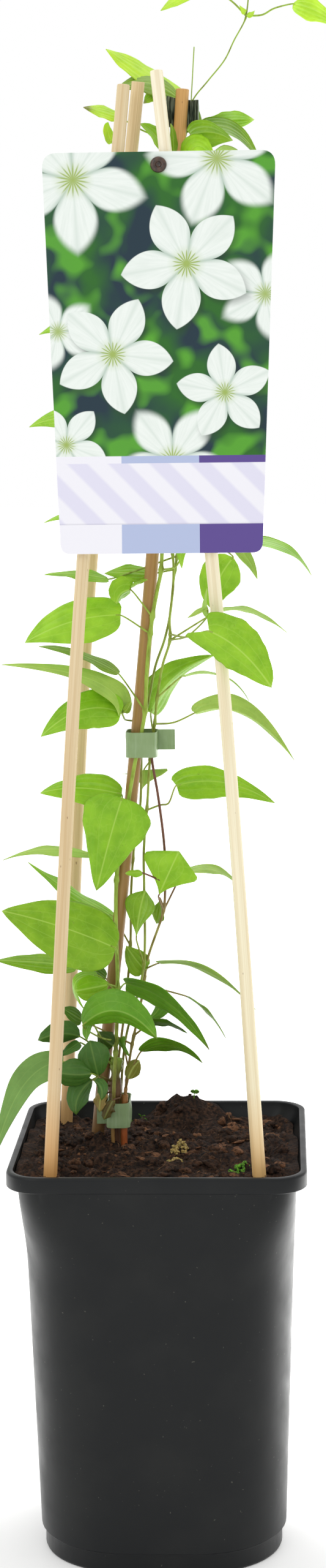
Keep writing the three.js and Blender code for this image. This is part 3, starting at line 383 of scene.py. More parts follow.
class SoilSettings(bpy.types.PropertyGroup):
    level: length("Level", 195, "Mean height of the soil")
    crumbs: IntProperty(name="Crumbs", description="Number of loose crumbs", default=700, min=0)
    clods: IntProperty(name="Clods", description="Number of larger clods", default=190, min=0)
    fibres: IntProperty(name="Fibres", description="Number of loose fibres", default=70, min=0)
    chips: IntProperty(name="Bark chips", description="Number of bark chips", default=34, min=0)
    peat: colour("Peat", "#4a3325", "Moist peat")
    # The darkest peat is the peat's own dark brown deepened by painted shade of the hollows.
    dark_peat: colour("Dark peat", "#110a08", "Peat in the hollows")
    pale_peat: colour("Pale peat", "#7d563c", "Crumbs that have dried")
    fibre: colour("Fibre", "#8e6a46", "Plant fibres")
    bark: colour("Bark", "#7a5236", "Bark chips")
    moss: colour("Moss", "#76bb2c", "Moss and seedlings")
    old_moss: colour("Old moss", "#8a7238", "Dried moss")


class CaneSettings(bpy.types.PropertyGroup):
    radius: length("Radius", 3.45, "Radius of each cane")
    foot: length("Foot", 180, "Height of the buried end")
    grain_width: length("Grain width", 0.45, "Width of the lines of the grain")


class VineSettings(bpy.types.PropertyGroup):
    blade: length("Blade thickness", 0.4, "Thickness of a leaf")
    stalk: length("Stalk radius", 0.5, "Radius of a leaf stalk")
    buried: length("Buried end", 165, "Height at which the stems end in the soil")
    puff: length("Puff", 0.45, "How far the blade stands up between its nerves")
    rib: length("Rib", 0.45, "How far the middle nerve stands out underneath")
    nerve: colour("Nerve", "#c9e27a", "Pale nerves of the upper face")
    underside: colour("Underside", "#b3c78c", "Greyish bloom of the lower face")
    spots: colour("Spots", "#6b5a33", "Withered spots and edges")


class LabelSettings(bpy.types.PropertyGroup):
    top_width: length("Top width", 120, "Width at the top edge")
    bottom_width: length("Bottom width", 102, "Width at the bottom edge")
    length: length("Length", 205.3, "From top to bottom")
    thickness: length("Thickness", 0.8, "Thickness of the card")
    top_corner: length("Top corner", 8, "Radius of the top corners")
    bottom_corner: length("Bottom corner", 5, "Radius of the bottom corners")
    stud_below_top: length("Stud below top", 6.8, "From the top edge to the middle of the stud")
    stud_radius: length("Stud radius", 4.2, "Radius of the stud's head")
    lean: FloatProperty(name="Lean", description="How far the card leans back", default=math.radians(4.5),
                        subtype="ANGLE")
    card: colour("Card", "#e4e3ea", "Unprinted plastic")
    lilac: colour("Lilac", "#d5d3e4", "Bands of the pale panel")
    blue: colour("Blue", "#aab5d4", "Light blue block")
    purple: colour("Purple", "#574489", "Purple block")
    stud: colour("Stud", "#2a1e18", "Moulded stud and clip")


class TieSettings(bpy.types.PropertyGroup):
    thickness: length("Thickness", 0.5, "Thickness of the tape")
    tape: colour("Tape", "#7f9668", "Grey-green tape")
    dark_tape: colour("Dark tape", "#1c2a22", "Blackish green tape")
    streak: colour("Streak", "#b9cbb2", "Pale lines drawn along the tape")


class StageSettings(bpy.types.PropertyGroup):
    floor_size: FloatProperty(name="Floor size", description="Width of the floor", default=30, unit="LENGTH")
    floor: colour("Floor", "#f4f4f3", "Pale floor")
    sky: colour("Surround", "#ffffff", "Light from all round")


class PlantSettings(bpy.types.PropertyGroup):
    pot: PointerProperty(type=PotSettings)
    soil: PointerProperty(type=SoilSettings)
    canes: PointerProperty(type=CaneSettings)
    vines: PointerProperty(type=VineSettings)
    label: PointerProperty(type=LabelSettings)
    ties: PointerProperty(type=TieSettings)
    stage: PointerProperty(type=StageSettings)


# Materials


def add_node(tree, kind, inputs=None, **settings):
    """Adds a node with its settings; inputs are numbers, colours or sockets to link from."""
    node = tree.nodes.new("ShaderNode" + kind)
    for name, value in settings.items():
        setattr(node, name, value)
    for key, value in (inputs or {}).items():
        socket = node.inputs[key]
        if isinstance(value, bpy.types.NodeSocket):
            tree.links.new(value, socket)
        elif socket.type == "RGBA":
            socket.default_value = (*value[:3], 1)
        else:
            socket.default_value = value
    return node


def start_material(name, **uniform):
    """A material with its node tree, whose uniform values are set on the sockets of its Principled shader."""
    material = bpy.data.materials.new(name)
    material.use_nodes = True
    shader = material.node_tree.nodes["Principled BSDF"]
    for key, value in uniform.items():
        socket = shader.inputs[key.replace("_", " ")]
        socket.default_value = (*value, 1) if socket.type == "RGBA" else value
    return material, material.node_tree


def finish_material(material, bump=None, **varying):
    """Links what varies over the surface to the shader; bump is a height and its real depth in millimetres."""
    tree = material.node_tree
    shader = tree.nodes["Principled BSDF"]
    if bump:
        height, depth = bump
        relief = add_node(tree, "Bump", {"Height": height, "Distance": depth * MM, "Strength": 1})
        varying["Normal"] = relief.outputs[0]
    for key, socket in varying.items():
        tree.links.new(socket, shader.inputs[key.replace("_", " ")])
    return material


def place_in_mm(tree):
    """The place on the object, in millimetres."""
    place = add_node(tree, "TexCoord").outputs["Object"]
    return add_node(tree, "VectorMath", {0: place, 3: 1 / MM}, operation="SCALE").outputs[0]


def carried(tree, name, output="Fac"):
    """What the mesh carries under a name at its points."""
    return add_node(tree, "Attribute", attribute_name=name).outputs[output]


def span(tree, value, low, high, first=0, last=1, curve="LINEAR"):
    """Goes from first to last as the value goes from low to high."""
    limits = {0: value, 1: low, 2: high, 3: first, 4: last}
    return add_node(tree, "MapRange", limits, interpolation_type=curve).outputs[0]


def mixed(tree, share, first, second, blend="MIX"):
    """Two colours mixed by a share."""
    return add_node(tree, "Mix", {0: share, 6: first, 7: second}, data_type="RGBA", blend_type=blend).outputs[2]


def ramp(tree, value, low, high, colour_low, colour_high):
    """A colour that goes from one to another as the value goes from low to high."""
    return mixed(tree, span(tree, value, low, high), colour_low, colour_high)


def calculated(tree, operation, *values):
    """The result of one sum on sockets or numbers."""
    return add_node(tree, "Math", dict(enumerate(values)), operation=operation).outputs[0]


def patches(tree, place, size, detail=3, stretch=(1, 1, 1)):
    """Soft noise whose patches are about size millimetres across, stretched along the axes."""
    scaled = add_node(tree, "VectorMath", {0: place, 1: tuple(1 / (size * s) for s in stretch)},
                      operation="MULTIPLY").outputs[0]
    return add_node(tree, "TexNoise", {"Vector": scaled, "Scale": 1, "Detail": detail}).outputs["Fac"]


def polypropylene(pot):
    """Recycled black polypropylene, injection-moulded: half gloss, smooth, with sparse specks of dried soil."""
    material, tree = start_material("polypropylene_moulded", IOR=1.49, Specular_IOR_Level=0.27)
    place = place_in_mm(tree)
    film = span(tree, patches(tree, place, 34, 4), 0.45, 0.8, 0, 0.05)
    specks = span(tree, patches(tree, place, 1.5, 1), 0.765, 0.8, 0, 0.5)
    base = mixed(tree, calculated(tree, "MAXIMUM", film, specks), pot.plastic, pot.dust)
    rough = span(tree, patches(tree, place, 18), 0.3, 0.7, 0.3, 0.44)
    return finish_material(material, (patches(tree, place, 7), 0.05), Base_Color=base, Roughness=rough)


def peat(soil, name, light, dark):
    """Moist peat compost, sieved: crumbly and matt, darker in its fine grain and in soft patches, partly its own
    dark brown and partly painted shade of the hollows; crumbs carry how far they have dried.
    """
    material, tree = start_material(name, Roughness=0.9, IOR=1.4, Specular_IOR_Level=0.3)
    place = place_in_mm(tree)
    grain = patches(tree, place, 1.7, 6)
    # With the darkest peat, the low parts of the grain and the soft dark patches are painted shade of the
    # hollows over the peat's own dark brown.
    base = ramp(tree, grain, 0.36, 0.66, dark, light)
    base = mixed(tree, span(tree, patches(tree, place, 9), 0.4, 0.62, 0.6, 0), base, dark)
    dried = calculated(tree, "MULTIPLY", carried(tree, "dried"), span(tree, grain, 0.3, 0.6))
    base = mixed(tree, dried, base, soil.pale_peat)
    return finish_material(material, (patches(tree, place, 1.1, 5), 0.9), Base_Color=base)


def moss_cushion(name, fresh, aged):
    """Moss: soft and matt, built of tiny leaves, brighter at their ends."""
    material, tree = start_material(name, Roughness=0.75, IOR=1.4, Subsurface_Weight=0.15,
                                    Subsurface_Scale=0.5 * MM)
    grain = patches(tree, place_in_mm(tree), 0.9, 4)
    return finish_material(material, (grain, 0.5), Base_Color=ramp(tree, grain, 0.38, 0.66, aged, fresh))


def coloured_by_height(tree, place, stops):
    """A colour that runs from one stop to the next with the height."""
    height = add_node(tree, "SeparateXYZ", {0: place}).outputs["Z"]
    base = linear(stops[0][1])
    for (low, _), (high, hex_colour) in zip(stops, stops[1:]):
        base = ramp(tree, height, low, high, base, linear(hex_colour))
    return base


def cane_wood(canes, name, stops, grain, roughness):
    """Cane of straight-grained wood, peeled and sawn: fine lines run its whole length, with a few knots."""
    material, tree = start_material(name, Roughness=roughness, IOR=1.5, Specular_IOR_Level=0.4)
    rod = carried(tree, "rod_place", "Vector")
    fine = patches(tree, rod, canes.grain_width, 3, (1, 1, 160))
    bands = span(tree, patches(tree, rod, 2.2, 2, (1, 1, 60)), 0.45, 0.7, 0, 0.45)
    lines = span(tree, fine, 0.45, 0.72, 0, 0.5)
    knots = span(tree, patches(tree, rod, 2.4, 1, (1, 1, 2.5)), 0.77, 0.8, 0, 0.7)
    base = coloured_by_height(tree, place_in_mm(tree), stops)
    darker = mixed(tree, 1, base, linear("#dcc8a6"), "MULTIPLY")
    base = mixed(tree, bands, base, darker)
    base = mixed(tree, lines, base, mixed(tree, 0.5, darker, linear(grain)))
    base = mixed(tree, knots, base, linear("#6b4326"))
    return finish_material(material, (fine, 0.05), Base_Color=base)


def leaf_skin(vines, name):
    """Living leaf, waxy cuticle over spongy tissue: satin with pale sunken nerves, matt and greyer below.

    The mesh carries each point's tone, its place across the blade, the blade's width there, its face and how
    clearly the nerves show.
    """
    material, tree = start_material(name, IOR=1.42, Subsurface_Weight=0.15, Subsurface_Scale=0.6 * MM,
                                    Specular_IOR_Level=0.34)
    place = place_in_mm(tree)
    tone, width, under = carried(tree, "tone", "Color"), carried(tree, "width"), carried(tree, "under")
    across = calculated(tree, "ABSOLUTE", carried(tree, "across"))
    nerves = 0
    for nerve, line_width, weight in ((0, 0.6, 0.75), (NERVES[0], 0.32, 0.3), (NERVES[1], 0.28, 0.12)):
        off = calculated(tree, "ABSOLUTE", calculated(tree, "SUBTRACT", across, nerve))
        line = span(tree, calculated(tree, "MULTIPLY", off, width), 0, line_width, weight, 0, "SMOOTHSTEP")
        nerves = calculated(tree, "MAXIMUM", nerves, line)
    wander = add_node(tree, "TexNoise", {"Vector": place, "Scale": 0.25, "Detail": 2}).outputs["Color"]
    bent = add_node(tree, "VectorMath", {0: wander, 1: (5, 5, 5), 2: place},
                    operation="MULTIPLY_ADD").outputs[0]
    cells = add_node(tree, "TexVoronoi", {"Vector": bent, "Scale": 1 / NET_MM}, feature="DISTANCE_TO_EDGE")
    net = span(tree, cells.outputs["Distance"], 0, 0.05, 0.16, 0)
    nerves = calculated(tree, "MULTIPLY", calculated(tree, "MAXIMUM", nerves, net), carried(tree, "clear"))
    darker = mixed(tree, 1, tone, linear("#dae5c0"), "MULTIPLY")
    tissue = ramp(tree, patches(tree, place, 9), 0.35, 0.7, tone, darker)
    upper = mixed(tree, nerves, tissue, mixed(tree, 0.45, tone, vines.nerve))
    upper = mixed(tree, span(tree, patches(tree, place, 1.3, 1), 0.76, 0.8, 0, 0.6), upper, vines.spots)
    base = mixed(tree, under, upper, mixed(tree, 0.14, upper, vines.underside))
    fine = calculated(tree, "MULTIPLY_ADD", net, -0.6, patches(tree, place, 1.6))
    return finish_material(material, (fine, 0.1), Base_Color=base, Roughness=span(tree, under, 0, 1, 0.42, 0.6))


def stem_skin(name, stops):
    """Young climbing stem: smooth green skin, satin, turning to brown bark towards the soil."""
    material, tree = start_material(name, Roughness=0.5, IOR=1.42, Specular_IOR_Level=0.35)
    place = place_in_mm(tree)
    base = coloured_by_height(tree, place, stops)
    shaded = mixed(tree, 1, base, linear("#c9bd9c"), "MULTIPLY")
    mottled = patches(tree, place, 2.5, 3, (1, 1, 3))
    return finish_material(material, (mottled, 0.08), Base_Color=ramp(tree, mottled, 0.45, 0.7, base, shaded))


def tying_tape(ties, name, tape, streaks):
    """Thin PVC tying tape, drawn: smooth and half gloss, with faint pale lines that run up it."""
    material, tree = start_material(name, IOR=1.53, Roughness=0.36, Specular_IOR_Level=0.4)
    place = place_in_mm(tree)
    lines = patches(tree, place, 0.9, 2, (1, 1, 20))
    base = ramp(tree, lines, 0.5, 0.66, tape, mixed(tree, streaks, tape, ties.streak))
    base = ramp(tree, patches(tree, place, 6), 0.4, 0.75, base, mixed(tree, 0.1, base, ties.streak))
    return finish_material(material, (lines, 0.06), Base_Color=base)


def moulded_stud(label):
    """Dark brown nylon, injection-moulded: glossy on the round edges and dull in the hollow."""
    material, tree = start_material("nylon_moulded", IOR=1.53)
    place = place_in_mm(tree)
    cloud = patches(tree, place, 1.6)
    base = ramp(tree, cloud, 0.35, 0.75, label.stud, linear("#5b4030"))
    rough = span(tree, cloud, 0.3, 0.7, 0.28, 0.5)
    return finish_material(material, (patches(tree, place, 0.5, 2), 0.05), Base_Color=base, Roughness=rough)


def glowing_floor(stage):
    """White opal acrylic sheet, matt, with a painted glow as if lit from below: brighter behind the plant than
    in front of it.
    """
    material, tree = start_material("glowing_acrylic_floor", Roughness=0.9, Specular_IOR_Level=0.1,
                                    Emission_Color=stage.floor)
    place = place_in_mm(tree)
    base = ramp(tree, patches(tree, place, 400, 2), 0.3, 0.7, stage.floor, linear("#f8f8f7"))
    x, y, _ = add_node(tree, "SeparateXYZ", {0: place}).outputs
    # Painted light: the floor glows, weakly in front of the plant and strongly behind it, most on the right.
    front, left, right = FLOOR_GLOW
    behind = span(tree, x, -60, 60, left, right, "SMOOTHSTEP")
    glow = span(tree, y, -60, 160, front, behind, "SMOOTHSTEP")
    return finish_material(material, Base_Color=base, Emission_Strength=glow)


# Meshes


class Gathering:
    """Points, faces and values at the points, gathered from many parts into one mesh."""

    def __init__(self):
        self.points, self.faces, self.values = [], [], {}

    def add(self, points, faces, **values):
        first = sum(len(p) for p in self.points)
        self.points.append(np.asarray(points, float))
        self.faces += [tuple(first + i for i in face) for face in faces]
        for name, value in values.items():
            value = np.asarray(value, float)
            if value.ndim < 2:
                value = np.broadcast_to(value if value.ndim else value[None], (len(points),) + value.shape[1:])
            self.values.setdefault(name, []).append(value)

    def make(self, name, sharp=None):
        """The mesh as an object, in metres."""
        points = np.vstack(self.points) * MM
        mesh = bpy.data.meshes.new(name)
        mesh.from_pydata(points.tolist(), [], self.faces)
        for key, parts in self.values.items():
            value = np.concatenate(parts)
            if value.ndim == 2:
                attribute = mesh.attributes.new(key, "FLOAT_COLOR", "POINT")
                rgba = np.ones((len(value), 4), np.float32)
                rgba[:, :3] = value
                attribute.data.foreach_set("color", rgba.ravel())
            else:
                attribute = mesh.attributes.new(key, "FLOAT", "POINT")
                attribute.data.foreach_set("value", value.astype(np.float32))
        mesh.shade_smooth()
        if sharp is not None:
            mesh.set_sharp_from_angle(angle=math.radians(sharp))
        return add_object(name, mesh)


def add_object(name, data):
    """An object in the scene that holds a mesh, curve, lamp or camera."""
    piece = bpy.data.objects.new(name, data)
    bpy.context.scene.collection.objects.link(piece)
    return piece


def evaluated_mesh(piece):
    """A mesh of a piece as its modifiers or its curve's settings leave it."""
    return bpy.data.meshes.new_from_object(piece.evaluated_get(bpy.context.evaluated_depsgraph_get()))


def finish_piece(piece, material, slot, *nodes):
    """Gives a piece its material and lets it ride on the plant in place of its CAD nodes; slot is not used."""
    piece.data.materials.append(material)
    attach(piece, "root")
    if nodes:
        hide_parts(*nodes)


def unit(v):
    """Vectors at length one."""
    return v / np.linalg.norm(v, axis=-1, keepdims=True)


def smooth_step(value, low, high):
    """Rises softly from 0 at low to 1 at high."""
    share = min(max((value - low) / (high - low), 0), 1)
    return share * share * (3 - 2 * share)


def smooth_path(route, step):
    """Points about every step along a smooth curve through the route, spaced by the root of each chord."""
    p = np.array(route, float)
    p = np.vstack([2 * p[0] - p[1], p, 2 * p[-1] - p[-2]])
    path = []
    for a, b, c, d in zip(p, p[1:], p[2:], p[3:]):
        t1 = math.dist(a, b) ** 0.5
        t2 = t1 + math.dist(b, c) ** 0.5
        t3 = t2 + math.dist(c, d) ** 0.5
        steps = max(1, round(math.dist(b, c) / step))
        t = (t1 + (t2 - t1) * np.arange(steps) / steps)[:, None]
        ab = (t1 - t) / t1 * a + t / t1 * b
        bc = (t2 - t) / (t2 - t1) * b + (t - t1) / (t2 - t1) * c
        cd = (t3 - t) / (t3 - t2) * c + (t - t2) / (t3 - t2) * d
        abc = (t2 - t) / t2 * ab + t / t2 * bc
        bcd = (t3 - t) / (t3 - t1) * bc + (t - t1) / (t3 - t1) * cd
        path.append((t2 - t) / (t2 - t1) * abc + (t - t1) / (t2 - t1) * bcd)
    path.append(p[-2][None])
    return np.vstack(path)


def ring_faces(rings, count, closed_ends=True):
    """Faces that join rings of count points, stacked in order, with a cap at both ends."""
    faces = []
    for r in range(rings - 1):
        for i in range(count):
            j = (i + 1) % count
            faces.append((r * count + i, r * count + j, (r + 1) * count + j, (r + 1) * count + i))
    if closed_ends:
        faces.append(tuple(reversed(range(count))))
        faces.append(tuple((rings - 1) * count + i for i in range(count)))
    return faces


def tube(path, radii, sides, squash=1.0):
    """Points and faces of a rod along a path, turned as little as possible from ring to ring."""
    path = np.asarray(path, float)
    along = unit(np.gradient(path, axis=0))
    side = np.cross(along[0], (0.3, 1, 0.2))
    points = []
    angles = 2 * math.pi * np.arange(sides) / sides
    for centre, way, radius in zip(path, along, np.broadcast_to(radii, len(path))):
        side = unit(side - way * (side @ way))
        other = np.cross(way, side)
        ring = np.outer(np.cos(angles), side) + np.outer(np.sin(angles), other) * squash
        points.append(centre + ring * radius)
    return np.vstack(points), ring_faces(len(path), sides)


# Pot and soil

# Corner radii of the pot: its foot, the wall at the top, the lip's inside and the wall's inside below it.
FOOT_CORNER, TOP_CORNER, LIP_CORNER, THROAT_CORNER = 41, 15, 14.6, 13.4

# Points along each corner and each side of a ring of the pot and of the soil, and the rings of the soil's top.
POT_STEPS, SOIL_STEPS, SOIL_RINGS = (14, 10), (14, 34), 72

# Loose bits on the soil: least and greatest size of crumbs, clods, chips and tufts of moss, and their seeds.
CRUMBS, CLODS, CHIPS, TUFTS = (0.5, 1.6), (1.8, 4.2), (1.4, 3.2), (0.5, 1.1)
CRUMB_SEED, CHIP_SEED, FIBRE_SEED, MOSS_SEED = 11, 23, 37, 41

# The soil's heap at the back and its mound at the stems' foot: x, y, height and spread along x and y.
HEAP = (14, 62, 14, 420, 190)
MOUND = (-33, -3, 9, 60, 60)


def square_ring(half, corner, height, steps):
    """A level rounded square as points, anticlockwise from above."""
    reach = half - corner
    corner_steps, side_steps = steps
    points = []
    for side in range(4):
        turn = side * math.pi / 2
        for i in range(corner_steps):
            angle = i / corner_steps * math.pi / 2
            points.append((turn, reach + corner * math.cos(angle), reach + corner * math.sin(angle)))
        for i in range(side_steps):
            points.append((turn, reach - 2 * reach * i / side_steps, half))
    return [(x * math.cos(turn) - y * math.sin(turn), x * math.sin(turn) + y * math.cos(turn), height)
            for turn, x, y in points]


def wall_half(pot, height):
    """Half-width of the pot's wall at a height."""
    low, high = pot.foot_height + 0.6, pot.height - pot.rim_depth
    return pot.wall_base + (pot.wall_top - pot.wall_base) * (height - low) / (high - low)


def pot_profile(pot):
    """Half-width, corner radius and height of each ring, from the foot up the outside and down the inside."""
    top, rim, corner = pot.height, pot.rim_half, pot.rim_corner
    rim_low, lip_inside = top - pot.rim_depth, rim - pot.rim_lip
    foot, step, wall, wall_corner = pot.foot_half, pot.foot_height, pot.wall, pot.wall_corner
    rings = [(foot - 1.4, FOOT_CORNER - 1, 0), (foot - 0.5, FOOT_CORNER - 0.4, 0.3), (foot, FOOT_CORNER, 1.4),
             (foot, FOOT_CORNER, step - 1), (foot + 0.5, FOOT_CORNER + 0.4, step)]
    for height in np.linspace(step + 0.6, rim_low - 0.3, 25):
        tightened = smooth_step(height, pot.corner_height - 8, rim_low + 4)
        rings.append((wall_half(pot, height), wall_corner - (wall_corner - TOP_CORNER) * tightened, height))
    return rings + [
        (pot.wall_top + 0.3, TOP_CORNER, rim_low), (rim - 0.5, corner - 0.3, rim_low),
        (rim, corner, rim_low + 0.5), (rim, corner, top - 1.4), (rim - 0.1, corner - 0.1, top - 0.8),
        (rim - 0.4, corner - 0.3, top - 0.3), (rim - 0.9, corner - 0.8, top),
        (lip_inside + 0.8, TOP_CORNER, top), (lip_inside + 0.2, LIP_CORNER + 0.1, top - 0.25),
        (lip_inside, LIP_CORNER, top - 0.9), (lip_inside, LIP_CORNER, pot.shoulder_high),
        (pot.wall_top - wall, THROAT_CORNER, pot.shoulder_low),
        (wall_half(pot, pot.corner_height) - wall, wall_corner - 1, pot.corner_height),
        (pot.wall_base - wall, wall_corner - 1, step + 1.2),
        (foot - wall, FOOT_CORNER - 1, step - 0.6), (foot - wall, FOOT_CORNER - 1, wall + 0.4)]


def make_pot_mesh(pot):
    """The pot's shell, with its drainage holes drilled through the floor."""
    rings = pot_profile(pot)
    gathering = Gathering()
    gathering.add([point for ring in rings for point in square_ring(*ring, POT_STEPS)],
                  ring_faces(len(rings), 4 * sum(POT_STEPS)))
    shell = gathering.make("pot_shell", sharp=50)
    drill, radius = bmesh.new(), pot.drain_radius * MM
    for x in (-1, 1):
        for y in (-1, 1):
            place = Matrix.Translation(Vector((x, y, 0)) * pot.drain_offset * MM)
            bmesh.ops.create_cone(drill, cap_ends=True, segments=32, radius1=radius, radius2=radius,
                                  depth=10 * MM, matrix=place)
    drill_mesh = bpy.data.meshes.new("drill")
    drill.to_mesh(drill_mesh)
    drill.free()
    cutter = add_object("drill", drill_mesh)
    holes = shell.modifiers.new("drain_holes", "BOOLEAN")
    holes.operation = "DIFFERENCE"
    holes.solver = "EXACT"
    holes.object = cutter
    drilled = evaluated_mesh(shell)
    shell.modifiers.clear()
    shell.data = drilled
    bpy.data.objects.remove(cutter)
    return shell


def hill(x, y, middle_x, middle_y, height, spread_x, spread_y):
    """Height of a round hill at a place."""
    return height * math.exp(-((x - middle_x) ** 2) / spread_x - (y - middle_y) ** 2 / spread_y)


def soil_height(x, y, level):
    """Height of the soil: lumps of two sizes, a fall and a heap at the back, and a bank on the left."""
    lumps = 1.8 * math.sin(x / 9.1 + 1.3) * math.sin(y / 8.3 + 0.4)
    crumbs = 1.1 * math.sin(x / 4.3 + 2) * math.sin(y / 5.1)
    fall, bank = 4 * smooth_step(y, 5, 60), 2.4 * smooth_step(-x, 46, 70)
    return level + lumps + crumbs - fall + hill(x, y, *HEAP) + bank


def rough_soil_height(x, y, level):
    """The soil's height with a mound at the stems' foot, and clods and crumbs that flatten out near the pot."""
    coarse = noise.fractal(Vector((x / 8, y / 8, 3.1)), 0.6, 2.1, 4)
    ridged = abs(noise.noise(Vector((x / 5, y / 5, 7.7))))
    room = min(1, max(0, (71 - max(abs(x), abs(y))) / 7))
    return soil_height(x, y, level) + hill(x, y, *MOUND) + (2.6 * coarse + 2.4 * ridged - 0.6) * room


def soil_edges(soil, pot):
    """The soil's top edge, which spreads over the pot's shoulder where it is high, and the ring below it."""
    inside, lip_inside = pot.wall_top - pot.wall, pot.rim_half - pot.rim_lip
    low, high = [], []
    for x, y, _ in square_ring(lip_inside, LIP_CORNER, 0, SOIL_STEPS):
        z = rough_soil_height(x, y, soil.level)
        share = (inside - 0.75) / lip_inside
        low.append((x * share, y * share, min(pot.shoulder_low - 0.2, z - 0.8)))
        rise = min(max((z - pot.shoulder_low) / (pot.shoulder_high - pot.shoulder_low), 0), 1)
        share = (inside + rise * (lip_inside - inside) - 0.5) / lip_inside
        high.append((x * share, y * share, z))
    return low + high


def make_soil_mesh(soil, pot):
    """The body of soil: sides inside the pot's wall, and a rough top in rings that close in on the middle."""
    wall, step, corner = pot.wall, pot.foot_height, pot.wall_corner - 1
    foot_half, top_half = pot.foot_half - wall - 0.65, pot.wall_top - wall - 0.75
    sides = ((foot_half, FOOT_CORNER - 1, wall + 0.8), (foot_half, FOOT_CORNER - 1, step - 0.4),
             (pot.wall_base - wall - 0.55, corner, step + 2.4),
             (wall_half(pot, pot.corner_height) - wall - 0.65, corner, pot.corner_height))
    points = [point for ring in sides for point in square_ring(*ring, SOIL_STEPS)] + soil_edges(soil, pot)
    for i in range(SOIL_RINGS - 1, 0, -1):
        share = i / SOIL_RINGS
        ring = square_ring(top_half * share, TOP_CORNER * share, 0, SOIL_STEPS)
        points += [(x, y, rough_soil_height(x, y, soil.level)) for x, y, _ in ring]
    gathering = Gathering()
    gathering.add(points, ring_faces(len(sides) + 1 + SOIL_RINGS, 4 * sum(SOIL_STEPS)))
    return gathering.make("soil_bed", sharp=60)


def lump(source, size, stretch, fineness=None):
    """An uneven crumb: a small round body pushed in and out by noise."""
    ball = bmesh.new()
    bmesh.ops.create_icosphere(ball, subdivisions=fineness or (2 if size > 1.6 else 1), radius=1)
    seed = Vector([source.uniform(-50, 50) for _ in range(3)])
    points = []
    for vertex in ball.verts:
        push = 1 + 0.5 * noise.noise(vertex.co * 1.3 + seed) + 0.3 * noise.noise(vertex.co * 3.1 + seed)
        points.append([c * push * size * s for c, s in zip(vertex.co, stretch)])
    faces = [tuple(v.index for v in face.verts) for face in ball.faces]
    ball.free()
    spin = Matrix.Rotation(source.uniform(0, math.tau), 3, "Z")
    turn = spin @ Matrix.Rotation(source.uniform(-0.6, 0.6), 3, "X")
    return np.array(points) @ np.array(turn).T, faces


def scatter_place(source, half, level):
    """A random place on the soil, inside the pot."""
    x, y = source.uniform(-half, half), source.uniform(-half, half)
    return x, y, rough_soil_height(x, y, level)


def make_crumbs(soil, half):
    """Loose crumbs and larger clods, each dried to its own degree."""
    source = random.Random(CRUMB_SEED)
    gathering = Gathering()
    for i in range(soil.crumbs + soil.clods):
        is_clod = i < soil.clods
        size = source.uniform(*(CLODS if is_clod else CRUMBS))
        x, y, z = scatter_place(source, half - (6 if is_clod else 2.5), soil.level)
        points, faces = lump(source, size, (1, source.uniform(0.6, 1.1), source.uniform(0.45, 0.8)),
                             3 if is_clod else None)
        dried = source.uniform(0, 1) ** 3
        gathering.add(points + (x, y, z - 0.2 * size), faces, dried=dried)
    return gathering.make("soil_crumbs")


def make_chips(soil, half):
    """Flat chips of bark."""
    source = random.Random(CHIP_SEED)
    gathering = Gathering()
    for _ in range(soil.chips):
        x, y, z = scatter_place(source, half - 6, soil.level)
        points, faces = lump(source, source.uniform(*CHIPS), (1.5, 0.6, 0.25))
        gathering.add(points + (x, y, z + 0.6), faces, dried=source.uniform(0, 1))
    return gathering.make("bark_chips", sharp=50)


def make_fibres(soil, half):
    """Short fibres that lie on the soil."""
    source = random.Random(FIBRE_SEED)
    gathering = Gathering()
    for _ in range(soil.fibres):
        x, y, z = scatter_place(source, half - 8, soil.level)
        heading = source.uniform(0, math.tau)
        route = []
        for _ in range(4):
            route.append((x, y, max(z, rough_soil_height(x, y, soil.level)) + source.uniform(0.1, 1)))
            heading += source.uniform(-0.8, 0.8)
            step = source.uniform(0.8, 3)
            x = min(max(x + step * math.cos(heading), 2 - half), half - 2)
            y = min(max(y + step * math.sin(heading), 2 - half), half - 2)
        path = smooth_path(route, 0.8)
        thick = source.choice((0.1, 0.13, 0.13, 0.22))
        gathering.add(*tube(path, thick * np.sin(np.linspace(0.5, 2.7, len(path))), 5))
    return gathering.make("peat_fibres")


def make_moss(soil, cushions, name):
    """Cushions of moss: many small tufts heaped round each place."""
    source = random.Random(MOSS_SEED)
    gathering = Gathering()
    for x, y, reach, height in cushions:
        for _ in range(round(14 * reach)):
            angle, far = source.uniform(0, math.tau), reach * source.uniform(0, 1) ** 0.6
            px, py = x + far * math.cos(angle), y + far * math.sin(angle)
            rise = height * (1 - (far / reach) ** 2) * source.uniform(0.6, 1)
            points, faces = lump(source, source.uniform(*TUFTS), (1, 1, 0.8))
            gathering.add(points + (px, py, rough_soil_height(px, py, soil.level) + rise), faces)
    return gathering.make(name)


def make_seedlings(soil):
    """Curled and two-leaved seedlings, each a thin stalk with small round blades."""
    gathering = Gathering()
    for (x, y), height, blades, radius in SEEDLINGS:
        z = rough_soil_height(x, y, soil.level) - 0.5
        top = np.array((x + 0.4, y, z + height))
        gathering.add(*tube(smooth_path([(x, y, z), (x + 0.3, y, z + height * 0.6), tuple(top)], 0.5), 0.28, 6))
        for reach, rise in blades:
            end = top + (reach, -0.6, rise)
            path = smooth_path([top, (top + end) / 2 + (0, 0, 0.4), end], 0.4)
            widths = radius * np.sin(np.linspace(0.5, 2.8, len(path)))
            gathering.add(*tube(path, widths, 8, squash=0.4))
    return gathering.make("seedlings")


# Canes

# Sides of a cane, swellings along it, and how far apart the canes lie in the pattern of the grain.
CANE_SIDES, CANE_SWELLS, OWN_GRAIN = 28, 8, 900


def cane_path(route, foot, step):
    """The cane's middle line, from its buried end to its top."""
    low, middle, _ = (np.array(p, float) for p in route)
    share = (low[2] - foot) / (middle[2] - low[2])
    return smooth_path([low - (middle - low) * share, *route], step)


